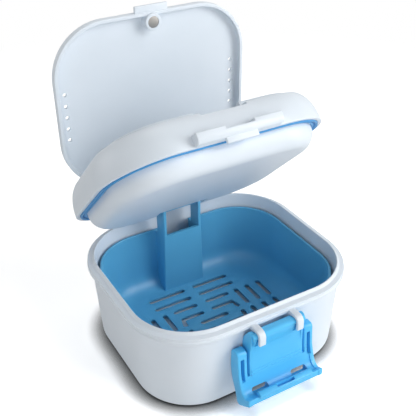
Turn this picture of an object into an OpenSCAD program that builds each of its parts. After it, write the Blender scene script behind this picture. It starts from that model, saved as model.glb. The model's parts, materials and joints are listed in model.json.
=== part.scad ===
// Denture case: a cup with a strainer basket, a domed lid with a tray on top,
// a thin vented cover over the tray, and a snap latch that hangs at the front.
// Millimetres. X runs along the front, the front faces -Y and Z is up.
// The origin is the middle of the cup's flat bottom.
// The lid stands part open, its cover stands upright and the latch hangs.

/* [Cup] */
// Inner width of the cup at its rim
cup_w = 92; // [86:1:104]
// Inner depth of the cup at its rim
cup_d = 80.3; // [76:1:92]
// Inner corner radius at the rim
corner_r = 24; // [22:0.5:26]
// Height of the rim over the table
cup_h = 40.6; // [38:0.5:48]
// Width of the rim from its inner to its outer edge
rim_w = 3.5; // [3.2:0.1:4]
// Wall thickness under the collar
cup_wall = 1.9; // [1.6:0.1:2.2]
// Floor thickness
cup_floor = 2.2; // [1.8:0.1:2.6]
// Height of the collar's outer face
collar_h = 3.9; // [3.4:0.1:4.4]
// Draft of the walls, each side, from collar to table
cup_draft = 2; // [1.2:0.1:2.4]
// Fillet round the bottom edge
foot_r = 3; // [2:0.5:4]

/* [Basket] */
// Gap between basket and cup at the basket's rim
basket_gap = 1.3; // [1:0.1:1.6]
// Basket wall thickness
basket_wall = 1.2; // [1:0.1:1.4]
// Depth of the basket's rim under the cup's rim
basket_drop = 6; // [5.8:0.1:7]
// Thickness of the basket floor
basket_floor = 1.6; // [1.4:0.1:2]
// Height of the feet under the basket
basket_foot_h = 1; // [0.8:0.1:1.4]
// Inner fillet between the basket's wall and floor
basket_fillet = 9; // [6:0.5:10]
// Width of a drain slot
slot_w = 2.1; // [1.6:0.1:2.6]
// Distance between neighbouring drain slots
slot_pitch = 6.1; // [5.6:0.1:6.4]

/* [Basket handle] */
// Outer width of the handle at its top
handle_w = 19; // [17:0.5:20]
// Outer width of the handle's column at the basket floor
handle_foot_w = 20.8; // [20:0.2:22]
// Depth of the handle from front to back
handle_d = 7.5; // [6.5:0.5:7.5]
// Wall thickness of the column and its posts
handle_wall = 1.3; // [1.1:0.1:1.5]
// Height of the posts' top over the cup's rim
handle_rise = 8.4; // [8:0.1:8.5]
// Thickness of the grip bar between the posts
grip_t = 1.8; // [1.5:0.1:2.2]

/* [Lid] */
// Height of the shut lid's edge over the cup's rim
lid_lift = 0.6; // [0.6:0.1:0.8]
// Height of the dome over the rim
dome_h = 15.2; // [14.8:0.2:17]
// How far the dome curves in on its way up
dome_in = 9.8; // [9:0.2:11]
// Fullness of the dome's curve, 2 is an ellipse
dome_power = 2.28; // [2.1:0.02:2.5]
// Thickness of the lid's skin
lid_wall = 1.8; // [1.6:0.1:2]
// Depth of the plug that dips into the cup
plug_h = 8; // [7:0.5:8]
// Distance of the plug's wall from the lid's edge
plug_in = 4.9; // [4.7:0.1:5.2]
// Fillet round the plug's lower edge
plug_r = 7.2; // [6.6:0.2:7.4]
// Thickness of the tray moulding
tray_wall = 1.5; // [1.3:0.1:1.7]
// Angle of the lid from shut
lid_open = 43.5; // [0:0.5:100]

/* [Cover] */
// Height of the cover's rim over the cup's rim when shut
cover_seat = 13.5; // [13.5:0.1:14]
// Inner depth of the cover
cover_deep = 3.2; // [3:0.1:4]
// Thickness of the cover's plate
cover_plate = 1.4; // [1.2:0.1:1.8]
// Width of the cover's rim
cover_rim = 1.55; // [1.4:0.05:1.6]
// Diameter of a vent hole
vent_d = 1.8; // [1.2:0.1:2]
// Distance between vent holes
vent_pitch = 5.14; // [4.5:0.02:5.5]
// Width of the finger tab at the cover's front
tab_w = 15; // [14:0.5:18]
// Reach of the finger tab in front of the cover
tab_reach = 2.8; // [2.6:0.1:3.2]
// Diameter of the magnet in the cover
magnet_d = 4.9; // [4:0.1:5.4]
// Angle of the cover from shut, against the lid
cover_open = 46.2; // [0:0.2:99]

/* [Latch] */
// Width of the whole latch
latch_w = 35.4; // [34:0.2:38]
// Width of the plate between the arms
latch_plate_w = 25; // [24.6:0.1:25.2]
// Gap between the plate and an arm
latch_gap = 1; // [0.9:0.1:1.1]
// Radius of the bar that turns in the hooks
bar_r = 1.4; // [1.3:0.05:1.45]
// Width of a hook
hook_w = 2.8; // [2.6:0.1:3]
// Distance of a hook's middle from the middle of the case
hook_x = 8.75; // [8.6:0.05:8.9]

/* [Hinges and fits] */
// Radius of the lid's hinge pin
lid_pin_r = 1.2; // [1:0.1:1.3]
// Radius of the cover's hinge pin
cover_pin_r = 0.8; // [0.7:0.05:0.9]
// Radial clearance of a turning fit
run_fit = 0.06; // [0.03:0.01:0.09]
// Gap between pieces that pass or face each other
part_gap = 0.3; // [0.3:0.05:0.4]

/* [Hidden] */
$fn = 72;
eps = 0.01;

white_blue = "#e6edf5";
basket_blue = "#3e8ec4";
latch_blue = "#5bb8f5";
steel = "#a39e9c";

// Corner centres, shared by the cup, the basket and the lid
core_x = cup_w / 2 - corner_r;
core_y = cup_d / 2 - corner_r;
out_r = corner_r + rim_w;
front_y = -(core_y + out_r);

// Cup wall, as distances from the corner centre
collar_top = cup_h - 1.3;
collar_low = collar_top - collar_h;
wall_top_r = out_r - 1.8;
wall_foot_r = wall_top_r - cup_draft;
function wall_r(z) = wall_foot_r + cup_draft * z / collar_low;
function inner_r(z) = corner_r - (cup_h - z) * (corner_r - wall_foot_r + cup_wall) / (cup_h - cup_floor);

// Basket, as distances from the same centre
basket_top = cup_h - basket_drop;
basket_low = cup_floor + basket_foot_h;
basket_in_z = basket_low + basket_floor;
function basket_r(z) = inner_r(z) - basket_gap;
floor_r = basket_r(basket_low);

// Handle column, at the back of the basket
handle_y0 = core_y + basket_r(basket_top) - 10.3;
handle_y1 = handle_y0 + handle_d;
handle_top = cup_h + handle_rise;
column_top = basket_top + 1.2;

// Lid frame: y from the lid's middle, z from the rim
lid_back = 0.65;
lid_r = out_r + 0.1;
lid_axis_y = core_y + lid_r + 3.18;
lid_axis_z = 0;
dome_steps = 14;
ledge_z = cover_seat - part_gap;
shelf_z = ledge_z - 1.9;
crest_in = 8.6;
crest_w = 2.7;
pocket_w = handle_w + 5;
pocket_y0 = handle_y0 - lid_back - 2.4;
pocket_y1 = handle_y1 - lid_back + 1.9;
pocket_top = handle_rise - lid_lift + 0.8;
function dome_inset(t) = dome_in * (1 - pow(cos(t), 2 / dome_power));
function dome_rise(t) = dome_h * pow(sin(t), 2 / dome_power);

// Cover, set in from the lid's edge
cover_side_in = 5;
cover_end_in = 6.6;
cover_r = lid_r - 4.4;
cover_core_x = core_x + lid_r - cover_side_in - cover_r;
cover_core_y = core_y + lid_r - cover_end_in - cover_r;
cover_top = cover_seat + cover_deep + cover_plate;
cover_front = -(cover_core_y + cover_r);
cover_axis_y = -cover_front - 0.3;
cover_axis_z = cover_seat - 0.5;
cover_knuckle_r = 2.2;
cover_knuckle_x = 9.9;
lid_lug_x = 15.5;
boss_y = cover_front + 4.06;
boss_r = magnet_d / 2 + 1.15;
boss_drop = 1.2;
magnet_t = 2;
disc_r = 2.8;
disc_t = 1.4;
notch_half = 10;
notch_z = cover_seat - boss_drop - 0.4;

// Striker on the lid's front
striker_half = 18.2;
striker_y = front_y - 3.4 - lid_back;
striker_h = 4.6;

// Latch pivot and its hooks
pivot_y = front_y - 3.65;
pivot_z = cup_h - 5.6;
hook_in_r = bar_r + run_fit;
hook_t = 1.4;
hook_out_r = hook_in_r + hook_t;
hook_tip = 3.3;
arm_half = latch_w / 2;
plate_half = latch_plate_w / 2;
arm_in = plate_half + latch_gap;
hook_gap_r = 5;
// The moulding hangs a little behind and below the bar's middle
hang_y = 0.7;
hang_z = -0.2;

// Lid hinge
lid_knuckle_r = 2.7;
lid_knuckle_x = 11.5;
lid_pin_half = 17.5;

// Points of an arc about (x, y)
function arc(x, y, r, from, to, n = 6) =
    [for (i = [0 : n]) let (t = from + (to - from) * i / n) [x + r * cos(t), y + r * sin(t)]];

// Points of a smooth bend from a to c that leans towards b
function bend(a, b, c, n = 4) =
    [for (i = [0 : n]) let (t = i / n) (1 - t) * (1 - t) * a + 2 * t * (1 - t) * b + t * t * c];

// Carries a half profile round a rectangle with round corners.
// The profile's first coordinate is the distance from the corner centre.
module round_sweep(cx, cy) {
    for (i = [0 : 3]) {
        sx = (i == 0 || i == 3) ? 1 : -1;
        sy = (i < 2) ? 1 : -1;
        translate([sx * cx, sy * cy, 0]) rotate(90 * i) rotate_extrude(angle = 90) children();
    }
    for (i = [0 : 1]) rotate(180 * i) {
        translate([cx, cy, 0]) rotate([90, 0, 0]) linear_extrude(2 * cy) children();
        rotate(90) translate([cy, cx, 0]) rotate([90, 0, 0]) linear_extrude(2 * cx) children();
    }
}

// Plate that fills the middle of a swept floor
module core_plate(cx, cy, z0, z1) {
    translate([-cx, -cy, z0]) cube([2 * cx, 2 * cy, z1 - z0]);
}

// Extrudes a side view, drawn as (y, z), from x0 to x1
module side_view(x0, x1) {
    translate([x0, 0, 0]) rotate([90, 0, 90]) linear_extrude(x1 - x0) children();
}

// The same on both sides of the middle
module side_views(x0, x1) {
    side_view(x0, x1) children();
    side_view(-x1, -x0) children();
}

module box(x0, x1, y0, y1, z0, z1) {
    translate([x0, y0, z0]) cube([x1 - x0, y1 - y0, z1 - z0]);
}

module pin_x(half, r) {
    rotate([0, 90, 0]) cylinder(r = r, h = 2 * half, center = true);
}

// Places for things drawn in the lid's, the cover's and the latch's own frame
module on_lid_axis(angle) {
    translate([0, lid_back + lid_axis_y, cup_h + lid_lift + lid_axis_z]) rotate([-angle, 0, 0])
        translate([0, -lid_axis_y, -lid_axis_z]) children();
}

module in_lid() {
    on_lid_axis(lid_open) children();
}

module in_cover() {
    in_lid() translate([0, cover_axis_y, cover_axis_z]) rotate([-cover_open, 0, 0])
        translate([0, -cover_axis_y, -cover_axis_z]) children();
}

module in_latch() {
    translate([0, pivot_y, pivot_z]) children();
}

// Cup

module cup_profile() {
    inner_low = cup_floor + 6;
    polygon(concat(
        [[0, 0]],
        arc(wall_r(foot_r) - foot_r, foot_r, foot_r, -90, 0),
        [[wall_r(collar_low - 0.8), collar_low - 0.8], [out_r - 0.2, collar_low]],
        [[out_r, collar_low + 0.3]],
        arc(out_r - 0.8, collar_top - 0.8, 0.8, 0, 60, 4),
        [[corner_r + 0.6, cup_h], [corner_r + 0.1, cup_h - 0.05], [corner_r, cup_h - 0.4]],
        [[inner_r(inner_low), inner_low]],
        arc(inner_r(inner_low) - 6, inner_low, 6, 0, -90, 8),
        [[0, cup_floor]]));
}

// Hook that holds the latch's bar, seen from the side about the pivot
module hook_profile() {
    root_y = front_y - pivot_y + 1.2;
    difference() {
        union() {
            circle(r = hook_out_r);
            translate([0, 0.2]) square([root_y, hook_out_r - 0.2]);
            translate([-hook_out_r, -hook_tip]) square([hook_t, hook_tip]);
        }
        circle(r = hook_in_r);
        translate([-hook_in_r, -hook_out_r - 1]) square([2 * hook_out_r + 2, hook_out_r + 1]);
        translate([0, -1]) square([root_y + 1, 1.2]);
    }
}

module lid_lug_profile() {
    axis = [lid_back + lid_axis_y, cup_h + lid_lift + lid_axis_z];
    wall_y = core_y + wall_top_r;
    translate(axis) circle(r = lid_knuckle_r);
    polygon([[wall_y, collar_low - 2], [wall_y, collar_top - 0.5], [axis[0] - 2, collar_top + 0.2],
             [axis[0], axis[1]], [axis[0] + lid_knuckle_r * cos(40), axis[1] - lid_knuckle_r * sin(40)]]);
}

module base_cup() {
    color(white_blue) difference() {
        union() {
            round_sweep(core_x, core_y) cup_profile();
            core_plate(core_x, core_y, 0, cup_floor);
            for (s = [-1, 1]) side_view(s * hook_x - hook_w / 2, s * hook_x + hook_w / 2)
                translate([pivot_y, pivot_z]) hook_profile();
            side_views(lid_knuckle_x + part_gap, lid_pin_half) lid_lug_profile();
        }
        translate([0, lid_back + lid_axis_y, cup_h + lid_lift + lid_axis_z])
            pin_x(lid_pin_half + 1, lid_pin_r);
    }
}

// Basket

module basket_profile() {
    wall_z = basket_in_z + basket_fillet;
    wall_in = basket_r(wall_z) - basket_wall;
    out_fillet = basket_fillet + basket_wall;
    polygon(concat(
        [[0, basket_low]],
        arc(basket_r(wall_z) - out_fillet, basket_low + out_fillet, out_fillet, -90, 0, 8),
        [[basket_r(basket_top), basket_top - 0.3], [basket_r(basket_top) - 0.3, basket_top]],
        [[basket_r(basket_top) - basket_wall + 0.3, basket_top],
         [basket_r(basket_top) - basket_wall, basket_top - 0.3]],
        arc(wall_in - basket_fillet, wall_z, basket_fillet, 0, -90, 8),
        [[0, basket_in_z]]));
}

// Straight slot with round ends between two points on the floor
module slot(p, q) {
    d = q - p;
    len = norm(d);
    translate(p) rotate(atan2(d[1], d[0])) {
        circle(d = slot_w);
        translate([0, -slot_w / 2]) square([len, slot_w]);
        translate([len, 0]) circle(d = slot_w);
    }
}

// One quarter of the drain pattern: cross slots, a bent slot and slots that run back
module drain_quarter() {
    gap = 3.3;
    long_x = 3.05 * slot_pitch + gap - 2.2;
    knee_x = 2.15 * slot_pitch;
    for (i = [3, 4]) slot([gap, i * slot_pitch], [long_x, i * slot_pitch]);
    slot([gap, 2 * slot_pitch], [knee_x + 0.4, 2 * slot_pitch]);
    slot([gap, slot_pitch], [knee_x - 0.4, slot_pitch]);
    slot([knee_x - 0.4, slot_pitch], [knee_x + 0.6, 2.4]);
    for (i = [0 : 2]) slot([(3.1 + i) * slot_pitch, 2.3], [(3.1 + i) * slot_pitch, 2 * slot_pitch]);
}

module drain_slots() {
    for (m = [0, 1]) mirror([m, 0, 0]) {
        for (n = [0, 1]) mirror([0, n, 0]) drain_quarter();
        slot([0, 0], [slot_pitch, 0]);
    }
}

// Front view of the hollow column; grow moves its sides outwards
module column_view(z0, z1, grow) {
    top = handle_w / 2 + grow;
    foot = handle_foot_w / 2 + grow;
    polygon([[-foot, z0], [foot, z0], [top, column_top], [top, z1], [-top, z1], [-top, column_top]]);
}

module from_front(y0, y1) {
    translate([0, y1, 0]) rotate([90, 0, 0]) linear_extrude(y1 - y0) children();
}

module handle() {
    z0 = basket_in_z - 0.4;
    back = core_y + basket_r(basket_top) - basket_wall / 2;
    grip_y = handle_y0 + handle_d / 2;
    difference() {
        union() {
            from_front(handle_y0, back) column_view(z0, basket_top - 0.4, 0);
            from_front(handle_y0, handle_y1) column_view(z0, handle_top, 0);
        }
        from_front(handle_y0 + handle_wall, back + 1) column_view(z0 - 1, handle_top + 1, -handle_wall);
        box(-handle_w / 2 + handle_wall, handle_w / 2 - handle_wall,
            handle_y0 - 1, handle_y0 + handle_wall + eps, column_top, handle_top + 1);
        cup_outside();
    }
    box(-handle_w / 2 + handle_wall - eps, handle_w / 2 - handle_wall + eps,
        grip_y - 1.9, grip_y + 1.9, handle_top - grip_t, handle_top);
}

// Space outside the basket's outer surface, below its rim, at the back
module cup_outside() {
    wall_z = basket_in_z + basket_fillet;
    y_top = core_y + basket_r(basket_top) - basket_wall / 2;
    y_low = core_y + basket_r(wall_z) - basket_wall / 2;
    side_view(-handle_foot_w, handle_foot_w) polygon(concat(
        [[y_top + 3, basket_low - 2], [y_top + 3, basket_top + eps], [y_top, basket_top + eps]],
        arc(y_low - basket_fillet - basket_wall / 2, wall_z, basket_fillet + basket_wall / 2, 0, -60, 6),
        [[y_low - 6, basket_low - 2]]));
}

module strainer_basket() {
    color(basket_blue) {
        difference() {
            union() {
                round_sweep(core_x, core_y) basket_profile();
                core_plate(core_x, core_y, basket_low, basket_in_z);
            }
            translate([0, 0, basket_low - 1]) linear_extrude(basket_floor + 2) drain_slots();
            // The column is open at the back, down to its foot
            box(-handle_w / 2 + handle_wall, handle_w / 2 - handle_wall,
                handle_y1 - 1, core_y + corner_r, basket_in_z + basket_fillet + 1, basket_top + 1);
        }
        handle();
        for (sx = [-1, 1], sy = [-1, 1])
            translate([sx * core_x, sy * core_y, cup_floor]) cylinder(r = 2.4, h = basket_foot_h + 0.2);
    }
}

module lid_hinge_pin() {
    color(steel) translate([0, lid_back + lid_axis_y, cup_h + lid_lift + lid_axis_z])
        pin_x(lid_pin_half, lid_pin_r);
}

// Lid

// Outer curve of the dome up to the ledge that carries the cover
ledge_t = asin(pow(ledge_z / dome_h, dome_power / 2));
function dome_curve(n) =
    [for (i = [0 : n]) let (t = ledge_t * i / n) [lid_r - dome_inset(t), dome_rise(t)]];

// Inner curve, one wall inside the outer one
skin_top = shelf_z;
skin_h = dome_h - lid_wall;
skin_in = dome_in - lid_wall / 2;
skin_t = asin(pow((ledge_z - lid_wall) / skin_h, dome_power / 2));
function skin_curve(n) =
    [for (i = [n : -1 : 0]) let (t = skin_t * i / n)
        [lid_r - lid_wall - skin_in * (1 - pow(cos(t), 2 / dome_power)),
         skin_h * pow(sin(t), 2 / dome_power)]];

basin_top_in = crest_in + crest_w;
basin_low_in = basin_top_in + 2.4;
tray_z = tray_wall - plug_h;

module lid_profile() {
    crest_r = 0.7;
    crest_x = lid_r - crest_in;
    basin_x = lid_r - basin_top_in;
    polygon(concat(
        dome_curve(dome_steps),
        [[crest_x, ledge_z]],
        arc(crest_x - crest_r, dome_h - crest_r, crest_r, 0, 90, 4),
        arc(basin_x + crest_r, dome_h - crest_r, crest_r, 90, 180, 4),
        [[lid_r - basin_low_in, tray_z], [lid_r - basin_low_in + tray_wall, tray_z]],
        [[basin_x + tray_wall, ledge_z - lid_wall]],
        skin_curve(dome_steps)));
}

module striker_profile(top) {
    r = 2.4;
    polygon(concat(
        [[front_y + 2 - lid_back, 0.1]],
        [for (p = arc(striker_y + r, r + 0.1, r, 270, 180, 6)) p],
        arc(striker_y + 0.7, top - 0.7, 0.7, 180, 90, 4),
        [[front_y + 3 - lid_back, top]]));
}

module lid_knuckle_profile() {
    translate([lid_axis_y, lid_axis_z]) circle(r = lid_knuckle_r);
    polygon([[core_y + lid_r - 1.2, 0.1], [lid_axis_y - 1, 0.1], [lid_axis_y, lid_axis_z + lid_knuckle_r],
             [core_y + lid_r - 1.2, 4.6]]);
}

module cover_lug_profile() {
    translate([cover_axis_y, cover_axis_z]) circle(r = cover_knuckle_r);
    translate([cover_axis_y - 1.9, shelf_z - 0.5]) square([3.8, cover_axis_z - shelf_z + 0.5]);
}

module lid_shell() {
    skirt_y = core_y + lid_r;
    color(white_blue) in_lid() difference() {
        union() {
            difference() {
                round_sweep(core_x, core_y) lid_profile();
                // Finger notch at the front and hinge step at the back
                box(-notch_half, notch_half, -skirt_y - 1, boss_y + 4.2, notch_z, dome_h + 1);
                box(-29, 29, skirt_y - crest_in + 0.3, skirt_y + 1, shelf_z, dome_h + 1);
                // Room for the handle pocket behind the tray
                box(-pocket_w / 2 - tray_wall - 0.1, pocket_w / 2 + tray_wall + 0.1,
                    pocket_y0 - tray_wall - 0.1, skirt_y - plug_in + 0.1, -plug_h, pocket_top + tray_wall - 0.2);
            }
            // Floor of the notch and of the hinge step
            box(-notch_half, notch_half, boss_y - 3.6, boss_y + 4.2, notch_z - 2, notch_z);
            box(-29, 29, skirt_y - crest_in - 0.2, skirt_y - 3.2, shelf_z - 1.2, shelf_z);
            side_view(-striker_half, striker_half) striker_profile(3.2);
            side_views(6.1, striker_half) striker_profile(striker_h);
            box(-6.8, 6.8, -skirt_y - 2.5, -skirt_y - 1.2, -2, 1.5);
            side_view(-lid_knuckle_x, lid_knuckle_x) lid_knuckle_profile();
            side_views(cover_knuckle_x + part_gap, lid_lug_x) cover_lug_profile();
        }
        translate([0, cover_axis_y, cover_axis_z]) {
            pin_x(lid_lug_x + 1, cover_pin_r);
            pin_x(cover_knuckle_x + part_gap, cover_knuckle_r + part_gap);
        }
        translate([0, lid_axis_y, lid_axis_z]) pin_x(lid_knuckle_x + 1, lid_pin_r + run_fit);
        translate([0, boss_y, notch_z - disc_t]) cylinder(r = disc_r, h = disc_t + 1);
    }
}

module tray_profile() {
    wall_x = lid_r - plug_in;
    in_r = plug_r - tray_wall;
    seat_x = lid_r - 2.7;
    polygon(concat(
        [[0, -plug_h]],
        arc(wall_x - plug_r, plug_r - plug_h, plug_r, -90, 0, 8),
        [[wall_x, 2.4], [seat_x, 2.4], [seat_x, 3.6], [wall_x - tray_wall, 3.6]],
        arc(wall_x - plug_r, plug_r - plug_h, in_r, 0, -90, 8),
        [[0, tray_z]]));
}

module lid_tray() {
    x = pocket_w / 2;
    wall_y = core_y + lid_r - plug_in;
    color(white_blue) in_lid() difference() {
        union() {
            round_sweep(core_x, core_y) tray_profile();
            core_plate(core_x, core_y, -plug_h, tray_z);
            box(-x - tray_wall, x + tray_wall, pocket_y0 - tray_wall, wall_y - tray_wall / 2,
                tray_z - 0.2, pocket_top + 1.1);
        }
        box(-x, x, pocket_y0, pocket_y1, -plug_h - 1, pocket_top);
        side_view(-x - tray_wall - 1, x + tray_wall + 1) polygon(concat(
            [[wall_y + 1, -plug_h - 1], [wall_y + 1, 0]],
            arc(wall_y - plug_r, plug_r - plug_h, plug_r, 0, -60, 8),
            [[wall_y - plug_r, -plug_h - 1]]));
    }
}

module lid_gasket() {
    skin_x = lid_r - lid_wall - 0.1;
    wall_x = lid_r - plug_in;
    color(latch_blue) in_lid() round_sweep(core_x, core_y) polygon([
        [wall_x, 2.4], [wall_x, 0.5], [wall_x + 0.4, -0.1], [wall_x + 1.2, -0.2], [wall_x + 1.4, 0.6],
        [wall_x + 1.8, 0.6], [wall_x + 2.1, -0.2], [skin_x - 0.3, -0.35], [skin_x, -0.5], [skin_x, 1.2],
        [skin_x - 0.5, 2.4]]);
}

module catch_disc() {
    color(steel) in_lid() translate([0, boss_y, notch_z - disc_t]) cylinder(r = disc_r, h = disc_t);
}

module cover_hinge_pin() {
    color(steel) in_lid() translate([0, cover_axis_y, cover_axis_z]) pin_x(lid_lug_x, cover_pin_r);
}

// Cover

module cover_profile() {
    in_r = 1.8;
    out_c = 2.2;
    polygon(concat(
        [[0, cover_top]],
        [[0, cover_top - cover_plate]],
        arc(cover_r - cover_rim - in_r, cover_top - cover_plate - in_r, in_r, 90, 0, 5),
        [[cover_r - cover_rim, cover_seat], [cover_r - 0.2, cover_seat], [cover_r, cover_seat + 0.2]],
        arc(cover_r - out_c, cover_top - out_c, out_c, 0, 90, 6)));
}

module vented_cover() {
    vent_x = cover_core_x + cover_r - 4.8;
    vent_mid = 2.3;
    rear_y = -cover_front;
    color(white_blue) in_cover() difference() {
        union() {
            difference() {
                union() {
                    round_sweep(cover_core_x, cover_core_y) cover_profile();
                    core_plate(cover_core_x, cover_core_y, cover_top - cover_plate, cover_top);
                }
                // Room for the lid's hinge lugs
                for (s = [-1, 1]) {
                    mid = s * (cover_knuckle_x + lid_lug_x + part_gap) / 2;
                    half = (lid_lug_x - cover_knuckle_x) / 2 + part_gap;
                    box(mid - half, mid + half, rear_y - cover_rim - 1.2, rear_y + 1,
                        cover_seat - 1, cover_axis_z + cover_knuckle_r + part_gap);
                }
            }
            side_view(-cover_knuckle_x, cover_knuckle_x) {
                translate([cover_axis_y, cover_axis_z]) circle(r = cover_knuckle_r);
                translate([cover_axis_y - 1.2, cover_axis_z]) square([1.5, cover_knuckle_r + 1]);
            }
            translate([0, boss_y, cover_seat - boss_drop])
                cylinder(r = boss_r, h = cover_top - cover_seat + boss_drop - 0.4);
            box(-tab_w / 2, tab_w / 2, cover_front - tab_reach, cover_front + cover_rim,
                cover_seat + 0.4, cover_seat + 1.9);
        }
        translate([0, boss_y, cover_seat - boss_drop - 1]) cylinder(r = magnet_d / 2, h = magnet_t + 1);
        translate([0, cover_axis_y, cover_axis_z])
            pin_x(cover_knuckle_x + 1, cover_pin_r + run_fit);
        for (s = [-1, 1], i = [-2 : 2])
            translate([s * vent_x, vent_mid + i * vent_pitch, cover_seat]) cylinder(d = vent_d, h = 8);
    }
}

module cover_magnet() {
    color(steel) in_cover() translate([0, boss_y, cover_seat - boss_drop])
        cylinder(r = magnet_d / 2, h = magnet_t);
}

// Latch, drawn about its bar

// Side view of the plate with its thick back, down to the crease
module latch_plate_view(front) {
    polygon(concat(front, [[3.6, -21.2], [4.6, -17.5], [5, -14], [5, -8], [4.7, -3.6], [4, -0.9], [2.6, 0]],
        arc(0.8, 0, 1.6, 0, 90, 4)));
}

// Ledge below the crease with its trough and curled front edge
module ledge_view() {
    polygon(concat(
        [[-1.2, -18.6]], bend([-1.6, -20.3], [-2.5, -25.4], [-6.2, -24.9], 6),
        [[-8.1, -23.7], [-8.5, -24.2], [-8.5, -26.2], [-3.6, -27.4], [-1.4, -25.4], [0.6, -21.6],
         [3.4, -19.4]]));
}

// Side of an arm, with the end that closes the ledge
module arm_view() {
    polygon(concat(
        arc(1.6, -8, 1.7, 180, 90, 4), arc(2.9, -8.3, 2, 90, 0, 4),
        bend([5, -13], [5, -18.4], [3.4, -22]), bend([3.3, -22.2], [1.3, -26.2], [0.5, -29.2], 3),
        arc(-1.35, -29.3, 1.9, -10, -115, 5),
        [[-4.2, -29.7], [-8.5, -26.2], [-8.5, -24.2], [-8.1, -23.7]],
        bend([-5.4, -25.2], [-2.4, -24.6], [-1.6, -20.3]),
        [[-0.7, -16], [-0.3, -11]]));
}

module lip_view() {
    polygon([[-5.7, -25.4], [-5.8, -23.1], [-6.7, -22.2], [-7.3, -22.2], [-8.8, -23], [-8.8, -23.6],
             [-8.4, -24.6], [-7.2, -25.4]]);
}

// Slot with round ends through the ledge
module ledge_window(x0, x1, z0, z1) {
    r = (z1 - z0) / 2;
    box(x0 + r, x1 - r, -5.6, 2, z0, z1);
    for (x = [x0 + r, x1 - r]) translate([x, 2, z0 + r]) rotate([90, 0, 0]) cylinder(r = r, h = 7.6);
}

module front_latch() {
    foot = [[-0.55, -12], [-1.2, -18.6], [-1.6, -20.3]];
    roll = concat([[-0.7, 1.6], [-2, 0.8]], bend([-2.1, 0], [-1.6, -3], [-0.1, -6.4]), foot);
    rib = concat([[-0.2, 1.5], [-0.9, 0.6], [-0.95, -5.2], [-0.5, -6.2]], foot);
    color(latch_blue) in_latch() {
        pin_x(plate_half - 0.5, bar_r);
        difference() {
            translate([0, hang_y, hang_z]) difference() {
                union() {
                    side_view(-plate_half + 1, plate_half - 1) latch_plate_view(roll);
                    side_views(plate_half - 1, plate_half) latch_plate_view(rib);
                    side_view(-arm_half + 1.7, arm_half - 1.7) ledge_view();
                    side_views(arm_half - 1.8, arm_half) arm_view();
                    side_views(arm_in, arm_half - 1.7) intersection() {
                        arm_view();
                        translate([-5, -21.2]) square([12, 25]);
                    }
                    side_view(-plate_half, plate_half) lip_view();
                }
                // Pocket in each arm, moulding windows under the lip and the slot in the lip
                for (s = [-1, 1]) {
                    arm_mid = s * (arm_in + arm_half) / 2;
                    box(arm_mid - 0.8, arm_mid + 0.8, -3, 3.4, -20.2, -9.6);
                    ledge_window(s * 9.25 - 3.75, s * 9.25 + 3.75, -26.2, -23.4);
                }
                box(-4.15, 4.15, -9.5, -6.2, -24, -22.6);
            }
            // Room for the hooks to pass as the latch swings
            for (s = [-1, 1]) translate([s * hook_x, 0, 0])
                pin_x(hook_w / 2 + part_gap + 0.1, hook_gap_r);
        }
    }
}

base_cup();
strainer_basket();
lid_hinge_pin();
lid_shell();
lid_tray();
lid_gasket();
catch_disc();
cover_hinge_pin();
vented_cover();
cover_magnet();
front_latch();
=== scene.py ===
"""Denture case: cup with a strainer basket, domed lid with a tray, vented cover and a snap latch.

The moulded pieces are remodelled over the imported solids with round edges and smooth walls.
The lid and its cover are modelled shut and then turned to the angle at which they stand.
"""

import json
import logging
import math
from collections.abc import Callable, Iterator
from contextlib import contextmanager
from dataclasses import dataclass
from enum import Enum

import bmesh
import bpy
from mathutils import Matrix, Vector

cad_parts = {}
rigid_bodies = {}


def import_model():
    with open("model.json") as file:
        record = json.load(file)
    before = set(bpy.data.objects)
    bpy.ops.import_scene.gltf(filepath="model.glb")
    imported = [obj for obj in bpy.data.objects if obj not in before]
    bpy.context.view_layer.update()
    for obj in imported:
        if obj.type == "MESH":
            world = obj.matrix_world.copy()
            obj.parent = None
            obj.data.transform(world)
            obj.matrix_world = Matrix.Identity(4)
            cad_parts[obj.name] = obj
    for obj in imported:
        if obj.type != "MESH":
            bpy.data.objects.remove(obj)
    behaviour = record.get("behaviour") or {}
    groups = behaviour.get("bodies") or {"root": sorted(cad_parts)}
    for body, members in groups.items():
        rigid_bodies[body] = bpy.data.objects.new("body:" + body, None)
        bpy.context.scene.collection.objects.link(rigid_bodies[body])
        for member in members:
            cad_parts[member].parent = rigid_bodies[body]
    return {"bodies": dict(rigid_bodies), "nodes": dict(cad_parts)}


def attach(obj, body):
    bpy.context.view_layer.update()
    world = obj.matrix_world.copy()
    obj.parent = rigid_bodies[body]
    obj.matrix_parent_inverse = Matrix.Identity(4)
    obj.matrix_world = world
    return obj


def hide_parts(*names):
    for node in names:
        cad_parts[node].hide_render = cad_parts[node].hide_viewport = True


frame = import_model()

LOG = logging.getLogger("denture_case")
MM = 0.001
# Flats in a round corner of an outline, and across a rounded edge
CORNER_STEPS = 18
EDGE_STEPS = 3
# A face looks along an axis where its normal's part along it is more than this
FACING = 0.9
# Heights closer than this, in millimetres, are the same one
SAME_LEVEL = 0.02
# An edge that turns by more degrees than this is rounded
CRISP = 50
# How far a cutter reaches past what it cuts, in millimetres
PAST = 1.5
SIDES = (-1, 1)
CORNERS = [(sx, sy) for sx in SIDES for sy in SIDES]

Point = tuple[float, float]
Spot = tuple[float, float, float]
Path = list[Point]


class Joining(Enum):
    """What one solid does to another."""

    ADD = "UNION"
    CUT = "DIFFERENCE"


class Side(Enum):
    """The face of a plate that a path starts from, with the sign of its normal."""

    TOP = 1
    UNDER = -1


class Axis(Enum):
    """The way that a rod points."""

    X = 0
    Z = 2


# Drawing: points in millimetres


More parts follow.
